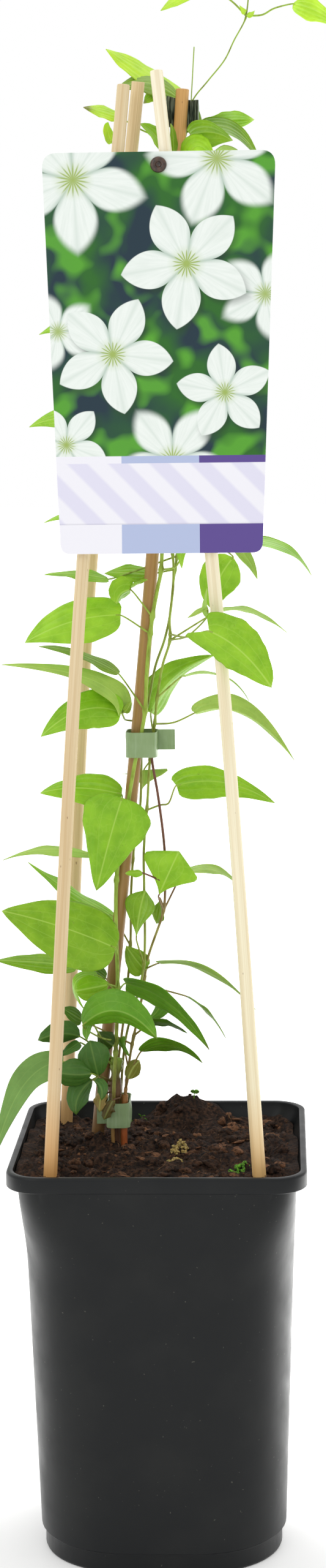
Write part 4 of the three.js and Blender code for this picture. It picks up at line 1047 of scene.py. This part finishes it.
def make_cane(name, route, canes, seed):
    """A rod with slightly uneven sides, thinly bevelled where it was sawn off."""
    path = cane_path(route, canes.foot, 6)
    source = random.Random(seed)
    wander = [source.uniform(-1, 1) for _ in range(CANE_SWELLS)]
    swell = np.interp(np.linspace(0, CANE_SWELLS - 1, len(path)), range(CANE_SWELLS), wander) * 0.1
    radii = canes.radius - 0.08 + swell
    tip = path[-1] - (path[-1] - path[-2]) * 0.05
    path = np.vstack([path[:-1], tip, path[-1]])
    radii = np.append(radii[:-1], [radii[-1], radii[-1] - 0.3])
    points, faces = tube(path, radii, CANE_SIDES)
    angles = np.tile(math.tau * np.arange(CANE_SIDES) / CANE_SIDES, len(path))
    along = np.cumsum([0, *np.linalg.norm(np.diff(path, axis=0), axis=1)]) + OWN_GRAIN * seed
    rod_place = np.column_stack([canes.radius * np.cos(angles), canes.radius * np.sin(angles),
                                 np.repeat(along, CANE_SIDES)])
    gathering = Gathering()
    gathering.add(points, faces, rod_place=rod_place)
    return gathering.make(name + "_rod", sharp=40)


# Vines

# A blade's side nerves and the columns of its mesh, as shares of the way from the rib to the edge, the width of
# the cells in its net of fine nerves, the length of a row of faces and how far a side nerve stands out.
NERVES = (0.42, 0.76)
ACROSS = (0, 0.05, 0.14, 0.27, 0.37, 0.42, 0.47, 0.59, 0.7, 0.76, 0.82, 0.92, 1)
COLUMNS = np.array([-share for share in reversed(ACROSS[1:])] + list(ACROSS))
NET_MM, BLADE_STEP, SIDE_NERVE = 6.5, 2.2, 0.14

# Waves along a blade: fewest and most of each kind, their height at the edge, and how a dead leaf crumples.
WAVES = ((0.8, 1.5, 1.1), (2, 3.4, 0.45))
CRUMPLED = 4


def puffed(v):
    """How far the blade stands up between its nerves at v, from 0 on a nerve to 1 halfway."""
    marks = np.array([0, *NERVES, 1.0])
    i = np.clip(np.searchsorted(marks, v, side="right") - 1, 0, 2)
    return np.sin(math.pi * (v - marks[i]) / (marks[i + 1] - marks[i])) ** 2 * np.array([1, 0.9, 0.5])[i]


def rib_curve(base, middle, tip, shares):
    """Points along a curved rib that passes the middle, and the rib's direction there."""
    control = 2 * middle - (base + tip) / 2
    t = shares[:, None]
    rib = (1 - t) ** 2 * base + 2 * t * (1 - t) * control + t ** 2 * tip
    return rib, unit(2 * (1 - t) * (control - base) + 2 * t * (tip - control))


def half_ways(along, folds):
    """The ways from the rib to the right and the left edge, and the normals of the two halves."""
    towards = np.array([0, 1.0, 0])
    across = unit(np.cross(towards, along))
    depth = unit(towards - along * (along @ towards)[:, None])
    right, left = (math.radians(f) for f in folds)
    right_way = across * math.cos(right) + depth * math.sin(right)
    left_way = -across * math.cos(left) + depth * math.sin(left)
    return right_way, left_way, unit(np.cross(right_way, along)), unit(np.cross(-left_way, along))


def blade_relief(shares, wide, half_width, leaf_length, tone, vines, source):
    """How far the blade stands up: between its nerves, and in waves that grow towards its edge."""
    room = np.minimum(1, half_width * wide / 8)[:, None]
    quilt = 0.75 + 0.25 * np.sin(shares * leaf_length / NET_MM * 1.7)[:, None]
    relief = vines.puff * puffed(abs(COLUMNS)) * room * quilt
    crumpled = CRUMPLED if tone in CRUMPLED_TONES else 1
    wave = 0
    for fewest, most, depth in WAVES:
        waves = source.uniform(fewest, most) * math.tau * crumpled ** 0.5
        amount = source.uniform(0.4, 1) * depth * min(1, half_width / 10) * crumpled
        phases = np.where(COLUMNS > 0, source.uniform(0, math.tau), source.uniform(0, math.tau))
        wave = wave + amount * abs(COLUMNS) ** 2.2 * wide[:, None] * np.sin(waves * shares[:, None] + phases)
    return relief + wave


def standing_nerves(shares, wide, half_width, vines):
    """How far the middle nerve and the side nerves stand out underneath."""
    size = abs(COLUMNS)
    middle = np.exp(-(size / 0.06) ** 2) * (1 - shares[:, None]) ** 0.6 * np.minimum(1, wide[:, None] * 3)
    nerves = vines.rib * middle
    for nerve in NERVES:
        room = np.minimum(1, half_width * wide / 8)[:, None]
        nerves = nerves + SIDE_NERVE * np.exp(-((size - nerve) / 0.03) ** 2) * room
    return nerves


def blade_faces(rows, columns):
    """The points that a blade uses and its faces: front and rear meet at the base, the tip and both edges."""
    index = np.arange(2 * (rows + 1) * columns).reshape(2, rows + 1, columns)
    for layer in index:
        layer[0, :] = layer[0, columns // 2]
        layer[-1, :] = layer[-1, columns // 2]
    front, rear = index
    faces = []
    for r in range(rows):
        for c in range(columns - 1):
            faces.append((front[r, c], front[r, c + 1], front[r + 1, c + 1], front[r + 1, c]))
            faces.append((rear[r, c], rear[r + 1, c], rear[r + 1, c + 1], rear[r, c + 1]))
        faces.append((front[r, 0], front[r + 1, 0], rear[r + 1, 0], rear[r, 0]))
        faces.append((rear[r, -1], rear[r + 1, -1], front[r + 1, -1], front[r, -1]))
    return used_points(faces)


def make_blade(cut, tone, base, middle, tip, half_width, folds, vines, source):
    """Points, faces and values of one leaf blade: two halves folded along a curved rib."""
    peak, fullness, *lobes = CUTS[cut]
    base, middle, tip = (np.array(p, float) for p in (base, middle, tip))
    leaf_length = np.linalg.norm(middle - base) + np.linalg.norm(tip - middle)
    rows, columns = max(10, round(leaf_length / BLADE_STEP)), len(COLUMNS)
    shares = (np.arange(rows + 1) / rows) ** 1.25
    rib, along = rib_curve(base, middle, tip, shares)
    right_way, left_way, right_normal, left_normal = half_ways(along, folds)
    size, is_right = abs(COLUMNS), (COLUMNS > 0)[None, :, None]
    way = np.where(is_right, right_way[:, None], left_way[:, None])
    normal = np.where(is_right, right_normal[:, None], left_normal[:, None])
    normal = np.where((COLUMNS == 0)[None, :, None], unit(right_normal + left_normal)[:, None], normal)

    wide = np.sin(math.pi * np.clip(shares, 0, 1) ** peak) ** fullness
    ripple = source.uniform(0.008, 0.03) * np.sin(shares * source.uniform(20, 34) + source.uniform(0, math.tau))
    uneven = 1 + source.uniform(-0.05, 0.05) * np.sin(math.tau * shares + source.uniform(0, math.tau)) + ripple
    surface = rib[:, None] + way * (half_width * (wide * uneven)[:, None] * size)[..., None]
    back = leaf_length * np.exp(-((shares / 0.14) ** 2)) * np.minimum(1, 1.5 * wide)
    lobe = np.where(COLUMNS > 0, lobes[0], lobes[1])
    surface = surface - along[:, None] * (back[:, None] * lobe * size ** 1.4)[..., None]
    relief = blade_relief(shares, wide, half_width, leaf_length, tone, vines, source)
    surface = surface + normal * relief[..., None]

    half_thick = vines.blade / 2 * (1 - 0.55 * size ** 3)
    nerves = standing_nerves(shares, wide, half_width, vines)
    is_under = tone in UNDERSIDE_TONES
    front_rise, rear_rise = (nerves, 0 * nerves) if is_under else (0 * nerves, nerves)
    front = surface + normal * (half_thick + front_rise)[..., None]
    rear = surface - normal * (half_thick + rear_rise)[..., None]
    kept, faces = blade_faces(rows, columns)
    points = np.concatenate([front.reshape(-1, 3), rear.reshape(-1, 3)])[kept]
    values = {
        "tone": withered(np.tile(varied(linear(TONES[tone]), source), (len(kept), 1)), points, vines),
        "clear": NERVES_CLEAR.get(tone, 1.0),
        "across": np.tile(COLUMNS, 2 * (rows + 1))[kept],
        "width": np.tile(np.repeat(half_width * wide, columns), 2)[kept],
        "under": np.repeat([float(is_under), float(not is_under)], (rows + 1) * columns)[kept],
    }
    return points, faces, values


def withered(tones, points, vines):
    """Tones turned brown round the withered spots."""
    for place, reach in WITHERED_SPOTS:
        near = np.clip(1.5 - 1.5 * np.linalg.norm(points - place, axis=1) / reach, 0, 1)[:, None]
        tones = tones * (1 - near) + np.array(vines.spots) * near
    return tones


def used_points(faces):
    """The point numbers that the faces use, and the faces renumbered to them, without repeats in a face."""
    clean = [tuple(dict.fromkeys(int(i) for i in face)) for face in faces]
    clean = [face for face in clean if len(face) > 2]
    kept = sorted({i for face in clean for i in face})
    new = {old: i for i, old in enumerate(kept)}
    return np.array(kept), [tuple(new[i] for i in face) for face in clean]


def varied(colour_value, source):
    """A tone slightly lighter or darker and yellower or bluer than the given one."""
    light = source.uniform(0.93, 1.07)
    warm = source.uniform(-0.03, 0.03)
    return np.array(colour_value) * light * (1 + warm, 1, 1 - warm)


def stalk_start(main_path, start):
    """Where a stalk starts: a point, or the point of the main stem at a height."""
    if isinstance(start, (list, tuple)):
        return np.array(start, float)
    return main_path[np.argmin(abs(main_path[:, 2] - start))]


def stem_radii(path, radius, joints):
    """A stem's radius along its path, swollen where stalks join it and thin at its young end."""
    swell = np.zeros(len(path))
    for height in joints:
        swell = np.maximum(swell, JOINT_SWELL * np.exp(-((path[:, 2] - height) / JOINT_REACH) ** 2))
    young = 1 - (1 - YOUNG_SHARE) * np.clip((path[:, 2] - YOUNG_FROM) / 10, 0, 1)
    return radius * (1 + swell) * young


def stem_sides(radius):
    """How many sides a stem has: more on a thick one."""
    return 14 if radius > THICK_STEM else 10


def make_vine(node, vines, seed):
    """The stems and stalks of a vine as one piece and its leaves as another."""
    source = random.Random(seed)
    stems, leaves = Gathering(), Gathering()
    (main_radius, main_route), *side_stems = STEMS[node]
    x, y, _ = main_route[0]
    main_path = smooth_path([[x, y, vines.buried], [x, y, UPRIGHT_BELOW], *main_route], STEM_STEP)
    joints = [leaf[7] for leaf in LEAVES[node] if not isinstance(leaf[7], list)]
    stems.add(*tube(main_path, stem_radii(main_path, main_radius, joints), stem_sides(main_radius)))
    for radius, route in side_stems:
        path = smooth_path(route, STEM_STEP)
        stems.add(*tube(path, stem_radii(path, radius, []), stem_sides(radius)))
    for cut, tone, base, middle, tip, half_width, folds, start, *via in LEAVES[node]:
        points, faces, values = make_blade(cut, tone, base, middle, tip, half_width, folds, vines, source)
        leaves.add(points, faces, **values)
        base, middle, tip = (np.array(p) for p in (base, middle, tip))
        into = base + 0.1 * (2 * middle - (base + tip) / 2 - base)
        path = smooth_path([stalk_start(main_path, start), *via, base, into], STEM_STEP)
        stems.add(*tube(path, vines.stalk * np.linspace(1.1, 0.8, len(path)), 8))
    return stems.make(node + "_stems"), leaves.make(node + "_leaves")


# Label


def card_outline(label):
    """The card's outline from its top left corner, anticlockwise, with round corners."""
    top, bottom = label.top_width / 2, label.bottom_width / 2
    corners = [Vector(c) for c in ((-top, 0), (-bottom, -label.length), (bottom, -label.length), (top, 0))]
    points = []
    for i, corner in enumerate(corners):
        radius = label.bottom_corner if i in (1, 2) else label.top_corner
        before = (corners[i - 1] - corner).normalized() * radius
        after = (corners[(i + 1) % 4] - corner).normalized() * radius
        points += [corner + before * (1 - k / 8) ** 2 + after * (k / 8) ** 2 for k in range(9)]
    return points


def card_place(label):
    """Where the card hangs: its own x runs across it, y up it and z out of its front."""
    return Matrix.Translation(Vector(LABEL_TOP) * MM) @ Matrix.Rotation(math.radians(90) - label.lean, 4, "X")


def make_card(label):
    """A flat card with a hole for the stud and finely rounded edges, which carries its own x, y and z."""
    curve = bpy.data.curves.new("card", "CURVE")
    curve.dimensions = "2D"
    curve.fill_mode = "BOTH"
    curve.extrude = (label.thickness / 2 - CARD_EDGE) * MM
    curve.bevel_depth = CARD_EDGE * MM
    curve.bevel_resolution = 2
    stud = Vector((0, -label.stud_below_top))
    angles = np.linspace(0, -math.tau, 32, endpoint=False)
    hole = [stud + Vector((math.cos(a), math.sin(a))) * CARD_HOLE for a in angles]
    for outline in (card_outline(label), hole):
        spline = curve.splines.new("POLY")
        spline.points.add(len(outline) - 1)
        for point, place in zip(spline.points, outline):
            point.co = (place.x * MM, place.y * MM, 0, 1)
        spline.use_cyclic_u = True
    flat = add_object("card", curve)
    bpy.context.view_layer.update()
    mesh = evaluated_mesh(flat)
    bpy.data.objects.remove(flat)
    for axis, name in enumerate(("card_x", "card_y", "card_z")):
        values = [vertex.co[axis] / MM for vertex in mesh.vertices]
        mesh.attributes.new(name, "FLOAT", "POINT").data.foreach_set("value", values)
    mesh.transform(card_place(label) @ Matrix.Translation((0, 0, label.thickness / 2 * MM)))
    welded = bmesh.new()
    welded.from_mesh(mesh)
    bmesh.ops.remove_doubles(welded, verts=welded.verts, dist=1e-6)
    welded.to_mesh(mesh)
    welded.free()
    return add_object("label_card", mesh)


def blossom(tree, x, y, middle, radius, turn, blur):
    """The share of a five-petalled blossom at each place, and its colour with shade, creases and heart."""
    dx = calculated(tree, "SUBTRACT", x, middle[0])
    dy = calculated(tree, "SUBTRACT", y, middle[1])
    squares = calculated(tree, "MULTIPLY_ADD", dx, dx, calculated(tree, "MULTIPLY", dy, dy))
    far = calculated(tree, "SQRT", squares)
    angle = calculated(tree, "ARCTAN2", dy, dx)
    beside = calculated(tree, "PINGPONG", calculated(tree, "MULTIPLY_ADD", angle, 5 / math.pi, turn), 1)
    lobes = calculated(tree, "SUBTRACT", 1, beside)
    edge = calculated(tree, "MULTIPLY_ADD", calculated(tree, "POWER", lobes, 0.6), 0.64 * radius, 0.36 * radius)
    share = span(tree, calculated(tree, "SUBTRACT", edge, far), -blur, blur, 0, 1, "SMOOTHSTEP")
    grain = add_node(tree, "CombineXYZ", {0: calculated(tree, "MULTIPLY", angle, 9),
                                          1: calculated(tree, "MULTIPLY", far, 0.04)}).outputs[0]
    creases = add_node(tree, "TexNoise", {"Vector": grain, "Scale": 1.6, "Detail": 3}).outputs["Fac"]
    gap, rib = span(tree, lobes, 0.02, 0.3, 0.7, 0), span(tree, lobes, 0.86, 1, 0, 0.3)
    creased = calculated(tree, "MAXIMUM", rib, span(tree, creases, 0.4, 0.75, 0, 0.2))
    petal = mixed(tree, calculated(tree, "MAXIMUM", gap, creased), linear(PETAL), linear(PETAL_SHADE))
    petal = mixed(tree, span(tree, far, 0.06 * radius, 0.3 * radius, 0.55, 0), petal, linear("#a9bf84"))
    ticks = calculated(tree, "ABSOLUTE", calculated(tree, "SINE", calculated(tree, "MULTIPLY", angle, 9)))
    reach = calculated(tree, "MULTIPLY_ADD", calculated(tree, "POWER", ticks, 3), 0.16 * radius, 0.05 * radius)
    soft = 0.5 * blur + 0.4
    heart = span(tree, calculated(tree, "SUBTRACT", far, reach), -soft, soft, 0.85, 0)
    return share, mixed(tree, heart, petal, linear("#8fa63c"))


def printed_picture(tree, place, x, y):
    """The picture on the card: blurred and sharp white blossoms on dark, blurred leaves."""
    picture = ramp(tree, patches(tree, place, 30, 1.5), 0.4, 0.58, linear("#142d3a"), linear("#25611c"))
    glow = span(tree, patches(tree, place, 18, 1), 0.5, 0.64, 0, 0.85)
    picture = mixed(tree, glow, picture, linear("#55a02a"))
    for middle, radius, turn in BLURRED_BLOSSOMS:
        share, petal = blossom(tree, x, y, middle, radius, turn, 3)
        picture = mixed(tree, share, picture, petal)
    for middle, radius, turn in PRINTED_BLOSSOMS:
        shadow = blossom(tree, x, y, (middle[0] + 1.5, middle[1] - 2), radius, turn, 4)[0]
        picture = mixed(tree, calculated(tree, "MULTIPLY", shadow, 0.55), picture, linear("#142a1c"))
        share, petal = blossom(tree, x, y, middle, radius, turn, 0.35)
        picture = mixed(tree, share, picture, petal)
    return picture


def printed_card(label):
    """White PVC card, offset-printed and varnished: blossoms over a striped panel and plain blocks."""
    material, tree = start_material("pvc_card_printed", IOR=1.53, Roughness=0.35, Specular_IOR_Level=0.3)
    x, y, z = (carried(tree, "card_" + axis) for axis in "xyz")
    place = add_node(tree, "CombineXYZ", {0: x, 1: y, 2: 0}).outputs[0]
    blue, purple = (calculated(tree, "GREATER_THAN", x, edge) for edge in BLOCK_EDGES)
    blocks = mixed(tree, purple, mixed(tree, blue, label.card, label.blue), label.purple)
    panel_top, panel_end = (-row for row in PANEL_ROWS)
    bands = add_node(tree, "TexWave", {"Vector": place, "Scale": 0.03, "Distortion": 3, "Detail": 1,
                                       "Detail Scale": 0.05}, bands_direction="DIAGONAL").outputs["Fac"]
    panel = ramp(tree, bands, 0.35, 0.65, label.card, label.lilac)
    panel = mixed(tree, span(tree, y, panel_end, panel_end + 0.9, 0.3, 0), panel, linear("#77758a"))
    on_panel = calculated(tree, "MULTIPLY", calculated(tree, "LESS_THAN", y, panel_top),
                          calculated(tree, "GREATER_THAN", y, panel_end))
    below_picture = calculated(tree, "LESS_THAN", y, -PICTURE_END)
    front = mixed(tree, below_picture, printed_picture(tree, place, x, y), mixed(tree, on_panel, blocks, panel))
    back = ramp(tree, patches(tree, place, 1.5), 0.3, 0.75, label.card, linear("#dcdae2"))
    base = mixed(tree, calculated(tree, "GREATER_THAN", z, 0.3), back, front)
    return finish_material(material, (patches(tree, place, 3, 2), 0.03), Base_Color=base)


def lathe(profile, steps):
    """Points and faces of a closed profile turned about the z axis; the profile starts and ends on the axis."""
    angles = math.tau * np.arange(steps) / steps
    points = [(0, 0, profile[0][1])]
    for radius, height in profile[1:-1]:
        points += [(radius * math.cos(a), radius * math.sin(a), height) for a in angles]
    points.append((0, 0, profile[-1][1]))
    last = len(points) - 1
    rings = len(profile) - 2
    faces = [(0, 1 + i, 1 + (i + 1) % steps) for i in range(steps)]
    for r in range(rings - 1):
        low, high = 1 + r * steps, 1 + (r + 1) * steps
        faces += [(low + i, high + i, high + (i + 1) % steps, low + (i + 1) % steps) for i in range(steps)]
    end = 1 + (rings - 1) * steps
    faces += [(last, end + (i + 1) % steps, end + i) for i in range(steps)]
    return np.array(points), faces


def placed(points, matrix):
    """Points in millimetres moved by a matrix in metres."""
    return np.array([(matrix @ (Vector(p) * MM)) / MM for p in points])


def make_stud(label, canes):
    """A dished round head on a shank, and an open ring behind the card that grips the cane."""
    head = label.stud_radius
    profile = [(0, 1.75), (1.1, 1.75), (1.35, 1.95), (1.6, 2.5), (2, 2.75), (head - 1.2, 2.72),
               (head - 0.45, 2.4), (head - 0.05, 1.8), (head, 1.3), (head - 0.25, 1.1), (STUD_SHANK, 1.1),
               (STUD_SHANK, -4), (0, -4)]
    points, faces = lathe(profile, 44)
    local = card_place(label) @ Matrix.Translation((0, -label.stud_below_top * MM, 0))
    gathering = Gathering()
    gathering.add(placed(points, local), faces)
    path = cane_path(CANES["cane_front_right"], canes.foot, 2)
    middle = path[np.argmin(abs(path[:, 2] - (LABEL_TOP[2] - label.stud_below_top)))]
    way = Vector(unit(path[-1] - path[len(path) // 2]))
    lean = Vector((0, 0, 1)).rotation_difference(way).to_matrix()
    inner = canes.radius + 0.3
    section = [(inner, -2.2), (inner + 0.3, -2.5), (inner + 0.8, -2.5), (inner + 1.1, -2.2),
               (inner + 1.1, 2.2), (inner + 0.8, 2.5), (inner + 0.3, 2.5), (inner, 2.2)]
    ring = []
    for angle in np.linspace(math.radians(40), math.radians(320), 40):
        for radius, height in section:
            place = Vector((radius * math.cos(angle), radius * math.sin(angle), height))
            ring.append(lean @ place + Vector(middle))
    gathering.add(np.array(ring), ring_faces(40, len(section)))
    return gathering.make("label_stud", sharp=45)


# Ties


def tape_strip(outline, low, high, thickness, closed, ruffle, source):
    """Points and faces of an upright strip of tape along an outline seen from above."""
    outline = np.array(outline, float)
    if closed:
        before, after = np.roll(outline, 1, axis=0), np.roll(outline, -1, axis=0)
    else:
        before, after = np.vstack([outline[:1], outline[:-1]]), np.vstack([outline[1:], outline[-1:]])
    way = unit(after - before)
    side = np.column_stack([way[:, 1], -way[:, 0]])
    seed = Vector([source.uniform(-20, 20) for _ in range(3)])
    count = 2 * (TAPE_ROWS + 1)
    points = []
    for (x, y), (sx, sy) in zip(outline, side):
        column = []
        for k in range(TAPE_ROWS + 1):
            z = low + (high - low) * k / TAPE_ROWS
            push = ruffle * noise.noise(Vector((x / 7, y / 7, z / 6)) + seed)
            column.append((x + sx * push, y + sy * push, z, sx, sy))
        outer = [(x + sx * thickness / 2, y + sy * thickness / 2, z) for x, y, z, sx, sy in column]
        inner = [(x - sx * thickness / 2, y - sy * thickness / 2, z) for x, y, z, sx, sy in reversed(column)]
        points += outer + inner
    faces = ring_faces(len(outline), count, closed_ends=not closed)
    if closed:
        last = (len(outline) - 1) * count
        faces += [(last + i, last + (i + 1) % count, (i + 1) % count, i) for i in range(count)]
    return np.array(points), [tuple(reversed(face)) for face in faces]


def loop_outline(left, right, front, back, corner):
    """A rounded rectangle as points."""
    points = []
    for cx, cy, start in ((right - corner, back - corner, 0), (left + corner, back - corner, 90),
                          (left + corner, front + corner, 180), (right - corner, front + corner, 270)):
        for k in range(9):
            angle = math.radians(start + 90 * k / 8)
            points.append((cx + corner * math.cos(angle), cy + corner * math.sin(angle)))
    dense = []
    for a, b in zip(points, points[1:] + points[:1]):
        steps = max(1, round(math.dist(a, b) / 1.2))
        dense += [(a[0] + (b[0] - a[0]) * k / steps, a[1] + (b[1] - a[1]) * k / steps) for k in range(steps)]
    return dense


def make_loop_tie(name, box, low, high, tab, thickness, seed):
    """A closed band of tape with a flat tab where its two ends meet."""
    source = random.Random(seed)
    gathering = Gathering()
    gathering.add(*tape_strip(loop_outline(*box, TIE_CORNER), low, high, thickness, True, LOOP_RUFFLE, source))
    start, end, depth, tab_low, tab_high = tab
    for side in (-1, 1):
        line = [(x, depth + side * thickness * 0.6) for x in np.linspace(start, end, 9)]
        if start > end:
            line.reverse()
        gathering.add(*tape_strip(line, tab_low, tab_high, thickness, False, TAB_RUFFLE, source))
    return gathering.make(name + "_tape", sharp=50)


def make_open_tie(name, route, low, high, thickness, seed):
    """A band of tape that goes half round what it holds."""
    line = smooth_path([(x, y, 0) for x, y in route], 1.0)[:, :2]
    gathering = Gathering()
    points, faces = tape_strip(line, low, high, thickness, False, OPEN_RUFFLE, random.Random(seed))
    points[:, 2] -= TOP_TIE_DROP * points[:, 0]
    gathering.add(points, faces)
    return gathering.make(name + "_tape", sharp=50)


# Operators


class CLEMATIS_OT_stage(bpy.types.Operator):
    """Make the camera, the floor and the light"""
    bl_idname = "clematis.stage"
    bl_label = "Stage"

    def execute(self, context):
        stage = context.scene.clematis.stage
        camera = add_object("camera", bpy.data.cameras.new("camera"))
        forward = Vector((math.sin(CAMERA_YAW), math.cos(CAMERA_YAW), 0))
        level = Vector((math.cos(CAMERA_YAW), -math.sin(CAMERA_YAW), 0))
        cosine, sine = math.cos(CAMERA_ROLL), math.sin(CAMERA_ROLL)
        right = level * cosine + Vector((0, 0, sine))
        up = -level * sine + Vector((0, 0, cosine))
        turn = Matrix((right, up, -forward)).transposed().to_4x4()
        camera.matrix_world = Matrix.Translation(CAMERA_PLACE) @ turn
        camera.data.sensor_width = SENSOR
        camera.data.lens = SENSOR * FOCAL_PIXELS / PHOTO_HEIGHT
        camera.data.shift_y = (HORIZON_ROW - PHOTO_HEIGHT / 2) / PHOTO_HEIGHT
        camera.data.clip_end = 100
        context.scene.camera = camera

        half = stage.floor_size / 2
        mesh = bpy.data.meshes.new("floor")
        corners = ((-half, -half, 0), (half, -half, 0), (half, half, 0), (-half, half, 0))
        mesh.from_pydata(corners, [], [range(4)])
        mesh.materials.append(glowing_floor(stage))
        add_object("floor", mesh)

        for name, place, size, watts in SOFT_LIGHTS:
            lamp = bpy.data.lights.new(name, "AREA")
            lamp.size = size
            lamp.energy = watts
            light = add_object(name, lamp)
            light.location = place
            light.rotation_mode = "QUATERNION"
            light.rotation_quaternion = (Vector(LIGHT_AIM) - light.location).to_track_quat("-Z", "Y")

        world = bpy.data.worlds.new("surround")
        world.use_nodes = True
        background = world.node_tree.nodes["Background"]
        background.inputs["Color"].default_value = (*stage.sky, 1)
        background.inputs["Strength"].default_value = SURROUND_STRENGTH
        context.scene.world = world
        context.scene.view_settings.view_transform = "Standard"
        return {"FINISHED"}


class CLEMATIS_OT_pot(bpy.types.Operator):
    """Make the square pot"""
    bl_idname = "clematis.pot"
    bl_label = "Pot"

    def execute(self, context):
        pot = in_mm(context.scene.clematis.pot)
        finish_piece(make_pot_mesh(pot), polypropylene(pot), "pot", "pot")
        return {"FINISHED"}


class CLEMATIS_OT_soil(bpy.types.Operator):
    """Make the soil with its crumbs, bark and fibres"""
    bl_idname = "clematis.soil"
    bl_label = "Soil"

    def execute(self, context):
        pot, soil = in_mm(context.scene.clematis.pot), in_mm(context.scene.clematis.soil)
        half = pot.wall_top - pot.wall
        bed = peat(soil, "peat_compost", soil.peat, soil.dark_peat)
        finish_piece(make_soil_mesh(soil, pot), bed, "soil", "soil")
        for make, name, light, dark in ((make_crumbs, "peat_crumbs", soil.peat, soil.dark_peat),
                                        (make_chips, "composted_bark", soil.bark, soil.peat),
                                        (make_fibres, "peat_fibre", soil.fibre, soil.peat)):
            finish_piece(make(soil, half), peat(soil, name, light, dark), "soil")
        fresh = moss_cushion("moss_fresh", soil.moss, linear("#2f4a16"))
        aged = moss_cushion("moss_dried", linear("#b8a468"), soil.old_moss)
        finish_piece(make_moss(soil, MOSS_CUSHIONS, "moss_cushions"), fresh, "soil")
        finish_piece(make_moss(soil, DRIED_CUSHIONS, "dried_moss"), aged, "soil")
        finish_piece(make_seedlings(soil), fresh, "soil")
        return {"FINISHED"}


class CLEMATIS_OT_canes(bpy.types.Operator):
    """Make the four canes"""
    bl_idname = "clematis.canes"
    bl_label = "Canes"

    def execute(self, context):
        canes = in_mm(context.scene.clematis.canes)
        for seed, (node, route) in enumerate(CANES.items()):
            slot, roughness = ("cane_brown", 0.42) if node == "cane_centre" else ("cane_pale", 0.6)
            wood = cane_wood(canes, node + "_wood", *CANE_COLOURS[node], roughness)
            finish_piece(make_cane(node, route, canes, seed), wood, slot, node)
        return {"FINISHED"}


class CLEMATIS_OT_vines(bpy.types.Operator):
    """Make the five leafy vines"""
    bl_idname = "clematis.vines"
    bl_label = "Vines"

    def execute(self, context):
        vines = in_mm(context.scene.clematis.vines)
        leaf = leaf_skin(vines, "leaf_cuticle")
        for seed, node in enumerate(STEMS):
            stem = stem_skin(node + "_skin", STEM_COLOURS[node])
            slot = node.replace("vine", "leaf")
            stems, leaves = make_vine(node, vines, seed)
            finish_piece(stems, stem, slot)
            finish_piece(leaves, leaf, slot, node)
        return {"FINISHED"}


class CLEMATIS_OT_label(bpy.types.Operator):
    """Make the hanging label and its stud"""
    bl_idname = "clematis.label"
    bl_label = "Label"

    def execute(self, context):
        label, canes = in_mm(context.scene.clematis.label), in_mm(context.scene.clematis.canes)
        finish_piece(make_card(label), printed_card(label), "label", "label")
        finish_piece(make_stud(label, canes), moulded_stud(label), "stud", "label_clip")
        return {"FINISHED"}


class CLEMATIS_OT_ties(bpy.types.Operator):
    """Make the three ties"""
    bl_idname = "clematis.ties"
    bl_label = "Ties"

    def execute(self, context):
        ties = in_mm(context.scene.clematis.ties)
        tape = tying_tape(ties, "pvc_tape", ties.tape, STREAKS)
        dark = tying_tape(ties, "pvc_tape_dark", ties.dark_tape, DARK_STREAKS)
        for seed, (node, tie) in enumerate(LOOP_TIES.items()):
            finish_piece(make_loop_tie(node, *tie, ties.thickness, seed), tape, "tape", node)
        open_tie = make_open_tie("tie_top", TOP_TIE, *TOP_TIE_HEIGHTS, ties.thickness, 5)
        finish_piece(open_tie, dark, "tape_dark", "tie_top")
        return {"FINISHED"}


PART_OPERATORS = (CLEMATIS_OT_stage, CLEMATIS_OT_pot, CLEMATIS_OT_soil, CLEMATIS_OT_canes, CLEMATIS_OT_vines,
                  CLEMATIS_OT_label, CLEMATIS_OT_ties)


def part_name(operator):
    """The part that an operator makes, which is also the name of its settings."""
    return operator.bl_idname.split(".")[1]


class CLEMATIS_PT_parts(bpy.types.Panel):
    """The plant's parts and their sizes"""
    bl_idname = "CLEMATIS_PT_parts"
    bl_label = "Clematis"
    bl_space_type = "VIEW_3D"
    bl_region_type = "UI"
    bl_category = "Clematis"

    def draw(self, context):
        for operator in PART_OPERATORS:
            box = self.layout.box()
            box.operator(operator.bl_idname)
            settings = getattr(context.scene.clematis, part_name(operator))
            for name in settings.bl_rna.properties.keys():
                if name not in ("rna_type", "name"):
                    box.prop(settings, name)


CLASSES = (PotSettings, SoilSettings, CaneSettings, VineSettings, LabelSettings, TieSettings, StageSettings,
           PlantSettings, *PART_OPERATORS, CLEMATIS_PT_parts)


def register():
    for cls in CLASSES:
        bpy.utils.register_class(cls)
    bpy.types.Scene.clematis = PointerProperty(type=PlantSettings)


def unregister():
    del bpy.types.Scene.clematis
    for cls in reversed(CLASSES):
        bpy.utils.unregister_class(cls)


def main():
    register()
    for operator in PART_OPERATORS:
        getattr(bpy.ops.clematis, part_name(operator))()


if __name__ == "__main__":
    main()
